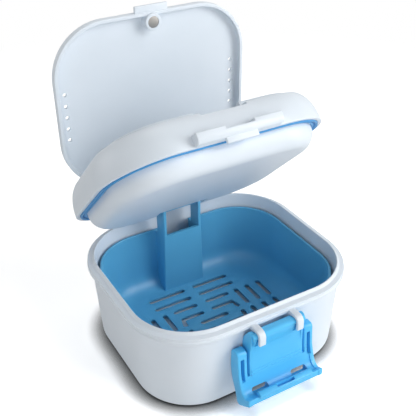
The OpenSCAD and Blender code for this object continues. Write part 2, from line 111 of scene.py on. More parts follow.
def arc(x: float, y: float, radius: float, start: float, end: float, steps: int = 8) -> Path:
    """Points of an arc.

    Args:
        x: first coordinate of the centre.
        y: second coordinate of the centre.
        radius: radius of the arc.
        start: first angle in degrees.
        end: last angle in degrees.
        steps: number of straight stretches.

    Returns:
        The points in order, both ends included.
    """
    angles = [math.radians(start + (end - start) * i / steps) for i in range(steps + 1)]
    return [(x + radius * math.cos(a), y + radius * math.sin(a)) for a in angles]


def bend(a: Point, b: Point, c: Point, steps: int = 6) -> Path:
    """Points of a smooth bend.

    Args:
        a: first point.
        b: point that the bend leans towards.
        c: last point.
        steps: number of straight stretches.

    Returns:
        The points in order, both ends included.
    """
    path = []
    for i in range(steps + 1):
        t = i / steps
        path.append(tuple((1 - t) ** 2 * a[k] + 2 * t * (1 - t) * b[k] + t * t * c[k] for k in (0, 1)))
    return path


def ogee(a: Point, b: Point, steps: int = 10) -> Path:
    """Points of a soft step, upright at both its ends.

    Args:
        a: first point.
        b: last point.
        steps: number of straight stretches.

    Returns:
        The points in order, both ends included.
    """
    path = []
    for i in range(steps + 1):
        t = i / steps
        path.append((a[0] + (b[0] - a[0]) * t * t * (3 - 2 * t), a[1] + (b[1] - a[1]) * t))
    return path


def two_sided(right: Path) -> Path:
    """Closes the right half of an outline, given from the bottom up, with its mirror image.

    Args:
        right: points of the right half.

    Returns:
        The whole outline.
    """
    left = [(-x, z) for x, z in right]
    return left[:1] + right + left[:0:-1]


def falling(path: Path) -> Path:
    """Keeps each distance from growing along a path, because an inset only goes inwards.

    Args:
        path: distances and heights.

    Returns:
        The path with the distances that grew brought back.
    """
    kept = [path[0]]
    for r, z in path[1:]:
        kept.append((min(r, kept[-1][0]), z))
    return kept


# Bench: modelling with Blender's own tools


def clear_selection() -> None:
    """Deselects every object, because a tool acts on all that is selected."""
    if bpy.context.object and bpy.context.object.mode != "OBJECT":
        bpy.ops.object.mode_set(mode="OBJECT")
    bpy.ops.object.select_all(action="DESELECT")


def take(*pieces: bpy.types.Object) -> None:
    """Makes some pieces the only selected ones and the first of them the active one.

    Args:
        pieces: the pieces.
    """
    clear_selection()
    for piece in pieces:
        piece.select_set(True)
    bpy.context.view_layer.objects.active = pieces[0]


@contextmanager
def editing(piece: bpy.types.Object) -> Iterator[None]:
    """Opens a piece in edit mode with all of it selected, and leaves edit mode afterwards.

    Args:
        piece: the piece to edit.

    Yields:
        Nothing; the piece is in edit mode meanwhile.
    """
    take(piece)
    bpy.ops.object.mode_set(mode="EDIT")
    bpy.ops.mesh.select_all(action="SELECT")
    yield
    bpy.ops.object.mode_set(mode="OBJECT")


def name_new(name: str) -> bpy.types.Object:
    """Names the primitive just added and its mesh.

    Args:
        name: the name for both.

    Returns:
        The primitive.
    """
    piece = bpy.context.object
    piece.name = name
    piece.data.name = name
    return piece


def pick_faces(piece: bpy.types.Object, test: Callable[[bmesh.types.BMFace], bool]) -> int:
    """Selects in edit mode the faces that pass a test, and nothing else.

    Args:
        piece: the piece that is in edit mode.
        test: says of a face whether it is wanted.

    Returns:
        The number of faces selected.
    """
    bpy.ops.mesh.select_all(action="DESELECT")
    bpy.ops.mesh.select_mode(type="FACE")
    mesh = bmesh.from_edit_mesh(piece.data)
    wanted = [face for face in mesh.faces if test(face)]
    for face in wanted:
        face.select_set(True)
    bmesh.update_edit_mesh(piece.data)
    return len(wanted)


def lay_face(piece: bpy.types.Object, corners: list[Spot]) -> None:
    """Lays the corners of the selected face of a piece in edit mode at given places.

    Args:
        piece: the piece that is in edit mode.
        corners: places for the corners, in order.
    """
    mesh = bmesh.from_edit_mesh(piece.data)
    face = next(f for f in mesh.faces if f.select)
    for vert, corner in zip(face.verts, corners):
        vert.co = Vector(corner) * MM
    bmesh.update_edit_mesh(piece.data)


def face_outwards(piece: bpy.types.Object) -> None:
    """Points every face of a closed piece outwards.

    Args:
        piece: the piece, in edit mode.
    """
    bpy.ops.mesh.select_all(action="SELECT")
    bpy.ops.mesh.normals_make_consistent(inside=False)
    if bmesh.from_edit_mesh(piece.data).calc_volume(signed=True) < 0:
        bpy.ops.mesh.flip_normals()


def outline_plate(name: str, core: Point, radius: float, z_low: float, z_high: float) -> bpy.types.Object:
    """Adds a flat plate whose outline is a rectangle with round corners.

    Args:
        name: name of the new piece.
        core: half distances between the corner centres, along X and Y.
        radius: corner radius.
        z_low: height of the underside.
        z_high: height of the top.

    Returns:
        The new piece.
    """
    clear_selection()
    bpy.ops.mesh.primitive_plane_add(size=1.0)
    piece = name_new(name)
    with editing(piece):
        bpy.ops.transform.resize(value=((core[0] + radius) * 2 * MM, (core[1] + radius) * 2 * MM, 1.0))
        bpy.ops.transform.translate(value=(0, 0, z_low * MM))
        bpy.ops.mesh.bevel(offset=radius * MM, segments=CORNER_STEPS, affect="VERTICES", clamp_overlap=False)
        bpy.ops.mesh.select_all(action="SELECT")
        bpy.ops.mesh.extrude_region_move(TRANSFORM_OT_translate={"value": (0, 0, (z_high - z_low) * MM)})
        face_outwards(piece)
    return piece


def follow_path(piece: bpy.types.Object, side: Side, path: Path, remove_last: bool = False) -> None:
    """Insets the top or bottom face again and again, so that its edge follows a path.

    Args:
        piece: the plate to shape.
        side: the face that is moved.
        path: distances from the corner centres and heights; the first is where the face is now.
        remove_last: True to take away the face that is left, so that the end stays open.

    Raises:
        ValueError: the path doesn't start at one face.
    """
    sign, level = side.value, path[0][1]
    with editing(piece):
        picked = pick_faces(piece, lambda f: f.normal.z * sign > FACING
                            and abs(f.calc_center_median().z - level * MM) < SAME_LEVEL * MM)
        if picked != 1:
            raise ValueError(f"{piece.name}: {picked} faces at {path[0]}")
        for (r0, z0), (r1, z1) in zip(path, path[1:]):
            rise = (z1 - z0) * MM
            if r0 - r1 > 1e-4:
                bpy.ops.mesh.inset(thickness=(r0 - r1) * MM, depth=rise * sign, use_even_offset=True)
            else:
                bpy.ops.mesh.extrude_region_move(TRANSFORM_OT_translate={"value": (0, 0, rise)})
        if remove_last:
            bpy.ops.mesh.delete(type="FACE")


def close_ring(piece: bpy.types.Object) -> None:
    """Bridges the two open edges of a ring and points its faces outwards.

    Args:
        piece: the ring.
    """
    with editing(piece):
        bpy.ops.mesh.select_all(action="DESELECT")
        bpy.ops.mesh.select_mode(type="EDGE")
        bpy.ops.mesh.select_non_manifold()
        bpy.ops.mesh.bridge_edge_loops()
        face_outwards(piece)


def add_polygon(name: str, corners: list[Spot]) -> bpy.types.Object:
    """Adds a flat polygon.

    Args:
        name: name of the new piece.
        corners: its corners in order.

    Returns:
        The new piece.
    """
    clear_selection()
    bpy.ops.mesh.primitive_circle_add(vertices=len(corners), radius=1.0, fill_type="NGON")
    piece = name_new(name)
    with editing(piece):
        lay_face(piece, corners)
    return piece


def side_plate(name: str, outline: Path, near: float, far: float, edge: float = 0.0) -> bpy.types.Object:
    """Cuts a plate to a side view and gives it its width along X.

    Args:
        name: name of the new piece.
        outline: corners of the side view as (y, z).
        near: one face.
        far: the other face, on either side of the first.
        edge: rounding of its sharp edges, 0 for none.

    Returns:
        The new piece, closed, with its faces outwards.
    """
    low, high = sorted((near, far))
    piece = add_polygon(name, [(low, y, z) for y, z in outline])
    with editing(piece):
        bpy.ops.mesh.extrude_region_move(TRANSFORM_OT_translate={"value": ((high - low) * MM, 0, 0)})
        face_outwards(piece)
    if edge:
        round_edges(piece, edge, CRISP)
    return piece


def front_plate(outline: Path, front: float, back: float) -> bpy.types.Object:
    """Cuts a plate to a front view and gives it its depth along Y.

    Args:
        outline: corners of the front view as (x, z).
        front: place of its front.
        back: place of its back.

    Returns:
        The new piece, closed, with its faces outwards.
    """
    piece = side_plate("front_plate", outline, front, back)
    with editing(piece):
        for vert in bmesh.from_edit_mesh(piece.data).verts:
            depth, x, z = vert.co
            vert.co = Vector((x, depth, z))
        bmesh.update_edit_mesh(piece.data)
        face_outwards(piece)
    return piece


def block(name: str, low: Spot, high: Spot, edge: float = 0.0) -> bpy.types.Object:
    """Adds a block between two corners.

    Args:
        name: name of the new piece.
        low: the corner with the lower coordinates.
        high: the corner with the higher ones.
        edge: rounding of its edges, 0 for sharp ones.

    Returns:
        The new piece.
    """
    clear_selection()
    bpy.ops.mesh.primitive_cube_add(size=1.0)
    piece = name_new(name)
    with editing(piece):
        bpy.ops.transform.resize(value=tuple((b - a) * MM for a, b in zip(low, high)))
        bpy.ops.transform.translate(value=tuple((a + b) / 2 * MM for a, b in zip(low, high)))
        if edge:
            bpy.ops.mesh.bevel(offset=edge * MM, segments=EDGE_STEPS, affect="EDGES")
    return piece


def rod(name: str, centre: Spot, radius: float, length: float, axis: Axis, edge: float = 0.0,
        flats: int = 48) -> bpy.types.Object:
    """Adds a round bar.

    Args:
        name: name of the new piece.
        centre: middle of the bar.
        radius: its radius.
        length: its length.
        axis: the way it points.
        edge: rounding of its end edges, 0 for sharp ones.
        flats: number of flats round it.

    Returns:
        The new piece.
    """
    clear_selection()
    bpy.ops.mesh.primitive_cylinder_add(vertices=flats, radius=radius * MM, depth=length * MM)
    piece = name_new(name)
    with editing(piece):
        if axis is Axis.X:
            bpy.ops.transform.rotate(value=math.pi / 2, orient_axis="Y", center_override=(0, 0, 0))
        bpy.ops.transform.translate(value=tuple(c * MM for c in centre))
        if edge:
            pick_faces(piece, lambda f: abs(f.normal[axis.value]) > FACING)
            bpy.ops.mesh.bevel(offset=edge * MM, segments=EDGE_STEPS, affect="EDGES")
    return piece


def combine(piece: bpy.types.Object, how: Joining, *others: bpy.types.Object) -> None:
    """Adds other solids to a piece or cuts them out of it, and takes them away.

    Args:
        piece: the piece that stays.
        how: whether the others are added or cut out.
        others: the solids that are used up.
    """
    for other in others:
        tool = piece.modifiers.new("combine", "BOOLEAN")
        tool.operation = how.value
        tool.solver = "EXACT"
        tool.object = other
        take(piece)
        bpy.ops.object.modifier_apply(modifier=tool.name)
        bpy.data.meshes.remove(other.data)


def round_edges(piece: bpy.types.Object, width: float, angle: float, steps: int = EDGE_STEPS) -> None:
    """Rounds the sharp edges of a piece.

    Args:
        piece: the piece.
        width: how far the rounding reaches from an edge.
        angle: edges that turn by more than this many degrees are rounded.
        steps: number of flats across the rounding.
    """
    tool = piece.modifiers.new("round", "BEVEL")
    tool.width = width * MM
    tool.segments = steps
    tool.limit_method = "ANGLE"
    tool.angle_limit = math.radians(angle)
    tool.use_clamp_overlap = True
    take(piece)
    bpy.ops.object.modifier_apply(modifier=tool.name)


def turn(piece: bpy.types.Object, axis: Point, degrees: float) -> None:
    """Turns a piece about a line along X, positive as a right-hand screw.

    Args:
        piece: the piece.
        axis: where the line runs, as (y, z).
        degrees: how far to turn.
    """
    with editing(piece):
        # With no window the tool turns the other way
        bpy.ops.transform.rotate(value=-math.radians(degrees), orient_axis="X",
                                 center_override=(0, axis[0] * MM, axis[1] * MM))


def finish_surface(piece: bpy.types.Object, angle: float = 32.0) -> None:
    """Merges doubled points and shades the piece smooth except over sharp edges.

    Args:
        piece: the piece.
        angle: edges that turn by more than this many degrees stay sharp.
    """
    with editing(piece):
        bpy.ops.mesh.remove_doubles(threshold=0.002 * MM)
    bpy.ops.object.shade_smooth_by_angle(angle=math.radians(angle))


def dress(piece: bpy.types.Object, material: bpy.types.Material) -> None:
    """Gives a piece one material all over."""
    piece.data.materials.clear()
    piece.data.materials.append(material)


def place_piece(piece: bpy.types.Object, name: str, material: bpy.types.Material, node: str, body: str) -> None:
    """Finishes and dresses a piece and hands it to the frame in place of its CAD node.

    Args:
        piece: the piece, where it stands.
        name: its final name.
        material: its finish.
        node: the CAD node that it takes the place of.
        body: the body that it rides on.
    """
    piece.name = name
    finish_surface(piece)
    dress(piece, material)
    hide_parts(node)
    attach(piece, body)
    LOG.info("%s: %d faces on %s", piece.name, len(piece.data.polygons), body)


# Finishes


def srgb(code: str) -> tuple[float, float, float, float]:
    """Turns an sRGB hex colour into a linear one.

    Args:
        code: the colour, such as "#ffffff".

    Returns:
        The colour that a socket takes.
    """
    parts = [int(code[i:i + 2], 16) / 255 for i in (1, 3, 5)]
    lin = [p / 12.92 if p <= 0.04045 else ((p + 0.055) / 1.055) ** 2.4 for p in parts]
    return (lin[0], lin[1], lin[2], 1.0)


def add_node(tree: bpy.types.NodeTree, kind: str, values: dict[str | int, object] | None = None,
             links: dict[str | int, bpy.types.NodeSocket] | None = None,
             **settings: object) -> bpy.types.Node:
    """Adds a shader node.

    Args:
        tree: the material's nodes.
        kind: Blender's name for the node.
        values: name or number of a socket to its constant.
        links: name or number of a socket to the socket that feeds it.
        settings: the node's own settings.

    Returns:
        The new node.
    """
    node = tree.nodes.new(kind)
    for key, value in settings.items():
        setattr(node, key, value)
    for key, value in (values or {}).items():
        node.inputs[key].default_value = value
    for key, socket in (links or {}).items():
        tree.links.new(socket, node.inputs[key])
    return node


def blank_material(name: str) -> tuple[bpy.types.Material, bpy.types.NodeSocket]:
    """Makes a material that holds nothing but the piece's own coordinates.

    Args:
        name: name of the material.

    Returns:
        The material and the socket of the coordinates.
    """
    material = bpy.data.materials.new(name)
    material.use_nodes = True
    material.node_tree.nodes.clear()
    return material, add_node(material.node_tree, "ShaderNodeTexCoord").outputs["Object"]


@dataclass(frozen=True)
class MouldedPlastic:
    """Injection moulded ABS or polypropylene with a spark-eroded satin skin.

    The tool's fine texture breaks up the highlight, flow in the mould leaves faint cloudy patches
    of tone and gloss, and the plastic lets a little light in under its surface.
    """

    name: str
    colour: str
    deep_colour: str
    roughness: float = 0.38
    soft: float = 0.06
    soft_reach: float = 1.2
    grain: float = 0.35
    grain_depth: float = 0.012
    cloud: float = 22.0

    def build(self) -> bpy.types.Material:
        """Makes the material with its clouded tone, uneven gloss and fine skin.

        Returns:
            The material.
        """
        material, place = blank_material(self.name)
        tree = material.node_tree
        cloud = add_node(tree, "ShaderNodeTexNoise",
                         {"Scale": 1 / (self.cloud * MM), "Detail": 3.0, "Roughness": 0.5}, {"Vector": place})
        patches = {"Value": cloud.outputs["Fac"]}
        spread = {"From Min": 0.3, "From Max": 0.7}
        tone = add_node(tree, "ShaderNodeMapRange", spread, patches)
        colour = add_node(tree, "ShaderNodeMix", {6: srgb(self.deep_colour), 7: srgb(self.colour)},
                          {"Factor": tone.outputs["Result"]}, data_type="RGBA")
        spread |= {"To Min": self.roughness - 0.03, "To Max": self.roughness + 0.04}
        gloss = add_node(tree, "ShaderNodeMapRange", spread, patches)
        # Spark-eroded grain is about 0.05 mm; it is drawn coarser, because that is too fine to show
        grain = add_node(tree, "ShaderNodeTexNoise", {"Scale": 1 / (self.grain * MM), "Detail": 2.0},
                         {"Vector": place})
        skin = add_node(tree, "ShaderNodeBump", {"Strength": 0.25, "Distance": self.grain_depth * MM},
                        {"Height": grain.outputs["Fac"]})
        plastic = add_node(tree, "ShaderNodeBsdfPrincipled",
                           {"IOR": 1.5, "Subsurface Weight": self.soft,
                            "Subsurface Scale": self.soft_reach * MM, "Subsurface Radius": (1.0, 1.0, 1.0)},
                           {"Base Color": colour.outputs[2], "Roughness": gloss.outputs["Result"],
                            "Normal": skin.outputs["Normal"]})
        add_node(tree, "ShaderNodeOutputMaterial", None, {"Surface": plastic.outputs["BSDF"]})
        return material


@dataclass(frozen=True)
class MouldedSilicone:
    """Moulded silicone rubber, as in a seal: matte, a little soft, with a dusty bloom at grazing angles."""

    name: str
    colour: str
    bloom: str
    grain: float = 0.5
    grain_depth: float = 0.02

    def build(self) -> bpy.types.Material:
        """Makes the material with a fine skin and a pale bloom.

        Returns:
            The material.
        """
        material, place = blank_material(self.name)
        tree = material.node_tree
        grain = add_node(tree, "ShaderNodeTexNoise", {"Scale": 1 / (self.grain * MM), "Detail": 3.0},
                         {"Vector": place})
        skin = add_node(tree, "ShaderNodeBump", {"Strength": 0.3, "Distance": self.grain_depth * MM},
                        {"Height": grain.outputs["Fac"]})
        colour = add_node(tree, "ShaderNodeMix", {6: srgb(self.colour), 7: srgb(self.bloom)},
                          {"Factor": grain.outputs["Fac"]}, data_type="RGBA")
        rubber = add_node(tree, "ShaderNodeBsdfPrincipled",
                          {"Roughness": 0.55, "IOR": 1.41, "Sheen Weight": 0.15, "Sheen Roughness": 0.5},
                          {"Base Color": colour.outputs[2], "Normal": skin.outputs["Normal"]})
        add_node(tree, "ShaderNodeOutputMaterial", None, {"Surface": rubber.outputs["BSDF"]})
        return material


@dataclass(frozen=True)
class TurnedSteel:
    """Nickel-plated steel with the fine rings that turning leaves, which stretch the highlight."""

    name: str
    colour: str
    roughness: float
    ring: float = 0.25
    ring_depth: float = 0.01
    tarnish: float = 1.5

    def build(self) -> bpy.types.Material:
        """Makes the material with fine rings and uneven tarnish.

        Returns:
            The material.
        """
        material, place = blank_material(self.name)
        tree = material.node_tree
        rings = add_node(tree, "ShaderNodeTexWave",
                         {"Scale": 1 / (self.ring * MM) / 6.28, "Distortion": 1.5, "Detail": 2.0},
                         {"Vector": place}, wave_type="BANDS", bands_direction="X")
        tarnish = add_node(tree, "ShaderNodeTexNoise", {"Scale": 1 / (self.tarnish * MM), "Detail": 3.0},
                           {"Vector": place})
        gloss = add_node(tree, "ShaderNodeMapRange",
                         {"To Min": self.roughness - 0.08, "To Max": self.roughness + 0.1},
                         {"Value": tarnish.outputs["Fac"]})
        bump = add_node(tree, "ShaderNodeBump", {"Strength": 0.2, "Distance": self.ring_depth * MM},
                        {"Height": rings.outputs["Fac"]})
        metal = add_node(tree, "ShaderNodeBsdfPrincipled", {"Base Color": srgb(self.colour), "Metallic": 1.0},
                         {"Roughness": gloss.outputs["Result"], "Normal": bump.outputs["Normal"]})
        add_node(tree, "ShaderNodeOutputMaterial", None, {"Surface": metal.outputs["BSDF"]})
        return material


class Finishes:
    """Every finish on the case, made once."""

    def __init__(self) -> None:
        """Builds the materials."""
        self.shell = MouldedPlastic("pale_satin_abs", "#e0e8f0", "#dce5ed").build()
        self.basket = MouldedPlastic("blue_polypropylene", "#5fb1da", "#5aabd4", 0.36, 0.02).build()
        self.latch = MouldedPlastic("sky_blue_acetal", "#56c1f6", "#50bbf2", 0.33, 0.03).build()
        self.seal = MouldedSilicone("blue_silicone_seal", "#3f93cf", "#4fa3dc").build()
        self.magnet = TurnedSteel("plated_magnet", "#a9a6a2", 0.42).build()
        self.pin = TurnedSteel("drawn_steel_pin", "#b4b4b6", 0.3).build()


# Sub-assemblies, sizes in millimetres


@dataclass(frozen=True)
class CaseLines:
    """Lines that more than one sub-assembly keeps to."""

    core: Point = (22.0, 16.15)
    rim_z: float = 40.6
    corner_r: float = 24.0
    out_r: float = 27.5
    lid_back: float = 0.65
    lid_lift: float = 0.6
    lid_r: float = 27.6
    hinge: Point = (47.58, 41.2)
    lid_angle: float = -43.5
    cover_angle: float = -46.2
    latch_pivot: Point = (-47.3, 35.0)
    hook_x: float = 8.75

    @property
    def lid_z(self) -> float:
        """Height of the shut lid's edge."""
        return self.rim_z + self.lid_lift


@dataclass
class Cup:
    """White cup with its rim, collar, latch hooks and hinge lugs."""

    lines: CaseLines
    collar_low: float = 35.4
    collar_top: float = 39.3
    step_up: float = 1.3
    step_down: float = 1.2
    band_drop: float = 2.0
    crease_r: float = 0.26
    shoulder_r: float = 0.6
    valley_r: float = 0.4
    lip_r: float = 0.32
    wall_top_r: float = 25.7
    wall_foot_r: float = 23.7
    wall: float = 1.9
    floor: float = 2.2
    foot_r: float = 3.0
    fillet: float = 6.0
    hook_w: float = 2.8
    hook_in: float = 1.46
    hook_t: float = 1.4
    hook_tip: float = 3.3
    hook_root: float = 4.9
    tip_out_r: float = 0.5
    tip_in_r: float = 0.4
    knuckle_r: float = 2.7
    lug_y: float = 41.6
    lug_span: Point = (11.8, 17.5)
    bore_r: float = 1.2

    def inner_r(self, z: float) -> float:
        """Distance of the inner wall from the corner centre at a height."""
        slope = (self.lines.corner_r - self.wall_foot_r + self.wall) / (self.lines.rim_z - self.floor)
        return self.lines.corner_r - (self.lines.rim_z - z) * slope

    def outside(self, start_z: float) -> Path:
        """Path of the outside: the collar's soft step, the wall and the rounding at the foot.

        Args:
            start_z: height where the path starts on the collar.

        Returns:
            Distances from the corner centres and heights.
        """
        foot = self.foot_r
        wall_r = self.wall_foot_r + (self.wall_top_r - self.wall_foot_r) * foot / self.collar_low
        step_end = (self.wall_top_r - 0.05, self.collar_low - self.step_down)
        return ogee((self.lines.out_r, start_z), step_end) + arc(wall_r - foot, foot, foot, 0, -90, 10)

    def inside(self, start_z: float) -> Path:
        """Path of the rim and the inside, up over the rim and down to the floor.

        Args:
            start_z: height where the path starts on the collar.

        Returns:
            Distances from the corner centres and heights.
        """
        r, lip_r, top = self.lines.out_r, self.lines.corner_r, self.lines.rim_z
        path = [(r, start_z), (r, start_z + 0.35)]
        path += arc(r, start_z + 0.65, self.crease_r, 250, 110, 5)
        path += arc(r - self.shoulder_r, start_z + 1.3, self.shoulder_r, 8, 76, 6)
        path += arc(lip_r + 1.55, top - 0.76, self.valley_r, 262, 218, 4)
        path += arc(lip_r + 0.34, top - self.lip_r, self.lip_r, 42, 180, 7)
        fillet_z = self.floor + self.fillet
        return path + arc(self.inner_r(fillet_z) - self.fillet, fillet_z, self.fillet, 0, -90, 10)

    def shell(self) -> bpy.types.Object:
        """Builds the cup's wall, rim and floor from one plate.

        Returns:
            The shell.
        """
        low, high = self.collar_low + self.step_up, self.collar_top - self.band_drop
        piece = outline_plate("cup_shell", self.lines.core, self.lines.out_r, low, high)
        follow_path(piece, Side.UNDER, falling(self.outside(low)))
        follow_path(piece, Side.TOP, falling(self.inside(high)))
        return piece

    def hook(self, x: float) -> bpy.types.Object:
        """Builds one hook, which comes out of the collar and turns down over the latch's bar.

        Args:
            x: middle of the hook.

        Returns:
            The hook.
        """
        y, z = self.lines.latch_pivot
        room, outer, tip_z = self.hook_in, self.hook_in + self.hook_t, z - self.hook_tip
        out_r, in_r, root = self.tip_out_r, self.tip_in_r, y + self.hook_root
        outline = [(root, z + outer - 0.1)] + arc(y, z, outer, 88, 180, 14)
        outline += arc(y - outer + out_r, tip_z + out_r, out_r, 180, 260, 4)
        outline += arc(y - room - in_r, tip_z + in_r, in_r, 280, 360, 4)
        outline += arc(y, z, room, 180, 92, 12) + [(y + 1.5, z + room - 0.3), (root, z + 0.4)]
        return side_plate("hook", outline, x - self.hook_w / 2, x + self.hook_w / 2, 0.22)

    def hinge_lug(self, side: int) -> bpy.types.Object:
        """Builds one lug of the lid's hinge at the back.

        Args:
            side: -1 for the left one, 1 for the right one.

        Returns:
            The lug.
        """
        outline = [(self.lug_y, self.collar_low - 2), (self.lug_y, self.collar_top - 0.5),
                   (self.lug_y + 1.7, self.collar_top - 0.2)]
        outline += arc(*self.lines.hinge, self.knuckle_r, 195, -45, 20)
        return side_plate("lug", outline, side * self.lug_span[0], side * self.lug_span[1], 0.3)

    def build(self, finishes: Finishes) -> None:
        """Builds and dresses the whole cup.

        Args:
            finishes: the finishes to choose from.
        """
        piece = self.shell()
        for side in SIDES:
            combine(piece, Joining.ADD, self.hook(side * self.lines.hook_x), self.hinge_lug(side))
        length = 2 * (self.lug_span[1] + PAST)
        combine(piece, Joining.CUT, rod("bore", (0, *self.lines.hinge), self.bore_r, length, Axis.X))
        place_piece(piece, "cup", finishes.shell, "base_cup", "base")


@dataclass
class Basket:
    """Blue basket with its drain slots and its lifting handle."""

    lines: CaseLines
    top: float = 34.6
    low: float = 3.2
    floor_z: float = 4.8
    wall: float = 1.2
    fillet: float = 9.0
    rim_r: float = 22.357
    rim_edge: float = 0.5
    rim_inner_edge: float = 0.4
    slope: float = 0.0573
    pitch: float = 6.1
    slot_w: float = 2.3
    slot_land: float = 0.25
    slot_relief: float = 0.5
    slot_start: float = 3.3
    handle_front: float = 28.207
    handle_back: float = 35.707
    handle_half: float = 9.5
    foot_half: float = 10.4
    handle_wall: float = 1.3
    column_top: float = 35.8
    handle_top: float = 49.0
    grip_t: float = 1.8
    grip_half: float = 1.9
    foot_r: float = 2.4
    foot_h: float = 1.2

    @property
    def bend_z(self) -> float:
        """Height where the wall bends into the floor."""
        return self.floor_z + self.fillet

    def outer_r(self, z: float) -> float:
        """Distance of the outer wall from the corner centre at a height."""
        return self.rim_r - (self.top - z) * self.slope

    def bowl(self) -> bpy.types.Object:
        """Builds the bowl from one plate: its rim first, then the wall and the floor.

        Returns:
            The bowl.
        """
        r, edge, inner_edge = self.rim_r, self.rim_edge, self.rim_inner_edge
        low, high = self.top - edge - 0.4, self.top - edge
        piece = outline_plate("bowl", self.lines.core, r, low, high)
        out_fillet, out_r = self.fillet + self.wall, self.outer_r(self.bend_z)
        outside = [(r, low)] + arc(out_r - out_fillet, self.low + out_fillet, out_fillet, 0, -90, 14)
        inside = [(r, high)] + arc(r - edge, high, edge, 0, 90, 5)[1:]
        inside += arc(r - self.wall + inner_edge, self.top - inner_edge, inner_edge, 90, 180, 4)
        inside += arc(out_r - self.wall - self.fillet, self.bend_z, self.fillet, 0, -90, 16)
        follow_path(piece, Side.UNDER, falling(outside))
        follow_path(piece, Side.TOP, falling(inside))
        return piece

    def straight_slot(self, start: Point, end: Point, half: float) -> Path:
        """Outline of a slot with round ends between two points of the floor.

        Args:
            start: middle of one round end.
            end: middle of the other.
            half: half the slot's width.

        Returns:
            The outline as (x, y).
        """
        turned = math.atan2(end[1] - start[1], end[0] - start[0])
        cos, sin = math.cos(turned), math.sin(turned)
        round_ends = arc(math.dist(start, end), 0, half, -90, 90, 10) + arc(0, 0, half, 90, 270, 10)
        return [(start[0] + u * cos - v * sin, start[1] + u * sin + v * cos) for u, v in round_ends]

    def bent_slot(self, sx: int, sy: int, half: float) -> Path:
        """Outline of a slot that turns towards the middle of the floor.

        Args:
            sx: 1 for a slot on the right, -1 on the left.
            sy: 1 for a slot at the back, -1 at the front.
            half: half the slot's width.

        Returns:
            The outline as (x, y).
        """
        y, knee = self.pitch, 2.15 * self.pitch - 0.4
        leg_x, leg_y = knee + 0.9, 2.4
        outline = arc(self.slot_start, y, half, 90, 270, 10)
        outline += [(leg_x - half - 0.1, y - half), (leg_x - half, leg_y + 0.4)]
        outline += arc(leg_x, leg_y, half, 175, 365, 10) + arc(knee - 0.1, y, half, 10, 90, 5)
        return [(u * sx, v * sy) for u, v in outline]

    def floor_cutter(self, above: Path, below: Path) -> bpy.types.Object:
        """Makes an upright cutter through the floor.

        Args:
            above: outline at the floor's upper side.
            below: outline under the floor, with as many points.

        Returns:
            The cutter.
        """
        piece = add_polygon("slot_cutter", [(x, y, self.low - 0.3) for x, y in below])
        with editing(piece):
            for z in (self.floor_z - self.slot_land, self.floor_z + 1):
                bpy.ops.mesh.extrude_region_move()
                lay_face(piece, [(x, y, z) for x, y in above])
            face_outwards(piece)
        return piece

    def cut_slots(self, bowl: bpy.types.Object) -> None:
        """Cuts the drain pattern into the floor of the bowl.

        Args:
            bowl: the bowl.
        """
        p, start = self.pitch, self.slot_start
        rows = ((3, 3.05 * p + 1.1), (4, 3.05 * p + 1.1), (2, 2.15 * p + 0.4))
        spans = [((-p, 0.0), (p, 0.0))]
        for sx, sy in CORNERS:
            spans += [((sx * start, sy * row * p), (sx * end, sy * row * p)) for row, end in rows]
            spans += [((sx * (3.1 + i) * p, sy * 2.3), (sx * (3.1 + i) * p, sy * 2 * p)) for i in range(3)]
        half, wide = self.slot_w / 2, self.slot_w / 2 + self.slot_relief
        cutters = [self.floor_cutter(self.straight_slot(*span, half), self.straight_slot(*span, wide))
                   for span in spans]
        cutters += [self.floor_cutter(self.bent_slot(*corner, half), self.bent_slot(*corner, wide))
                    for corner in CORNERS]
        take(*cutters)
        bpy.ops.object.join()
        combine(bowl, Joining.CUT, cutters[0])

    def handle(self) -> bpy.types.Object:
        """Builds the hollow column with its two posts and the grip bar between them.

        Returns:
            The handle.
        """
        half, foot, top = self.handle_half, self.foot_half, self.handle_top
        low, back = self.floor_z - 0.6, self.lines.core[1] + self.rim_r - self.wall / 2
        wall, front = self.handle_wall, self.handle_front
        inner, inner_foot = half - wall, foot - wall
        column = front_plate(two_sided([(foot, low), (half, self.column_top), (half, top)]),
                             front, self.handle_back)
        round_edges(column, 0.45, CRISP)
        web = front_plate(two_sided([(foot, low), (half, self.top - 0.5)]), front + 2, back)
        combine(column, Joining.ADD, web)
        core = front_plate(two_sided([(inner_foot, low - 1), (inner, self.column_top), (inner, top + PAST)]),
                           front + wall, back + PAST)
        window = block("window", (-inner, front - PAST, self.column_top),
                       (inner, front + wall + PAST, top + PAST))
        combine(column, Joining.CUT, core, window, self.outside_space())
        mid, grip = (front + self.handle_back) / 2, self.grip_half
        combine(column, Joining.ADD, block("grip", (-inner - 0.3, mid - grip, top - self.grip_t),
                                           (inner + 0.3, mid + grip, top), 0.4))
        return column

    def outside_space(self) -> bpy.types.Object:
        """Makes the space behind and under the bowl, which trims the column to the wall.

        Returns:
            The space as a solid.
        """
        y_top = self.lines.core[1] + self.rim_r - self.wall / 2
        y_low = self.lines.core[1] + self.outer_r(self.bend_z) - self.wall / 2
        turn_r = self.fillet + self.wall / 2
        low, back, half = self.low - 2, y_top + PAST, self.foot_half + PAST
        outline = [(back, low), (back, self.top), (y_top, self.top)]
        outline += arc(y_low - turn_r, self.bend_z, turn_r, 0, -60, 10) + [(y_low - 6, low)]
        return side_plate("outside", outline, -half, half)

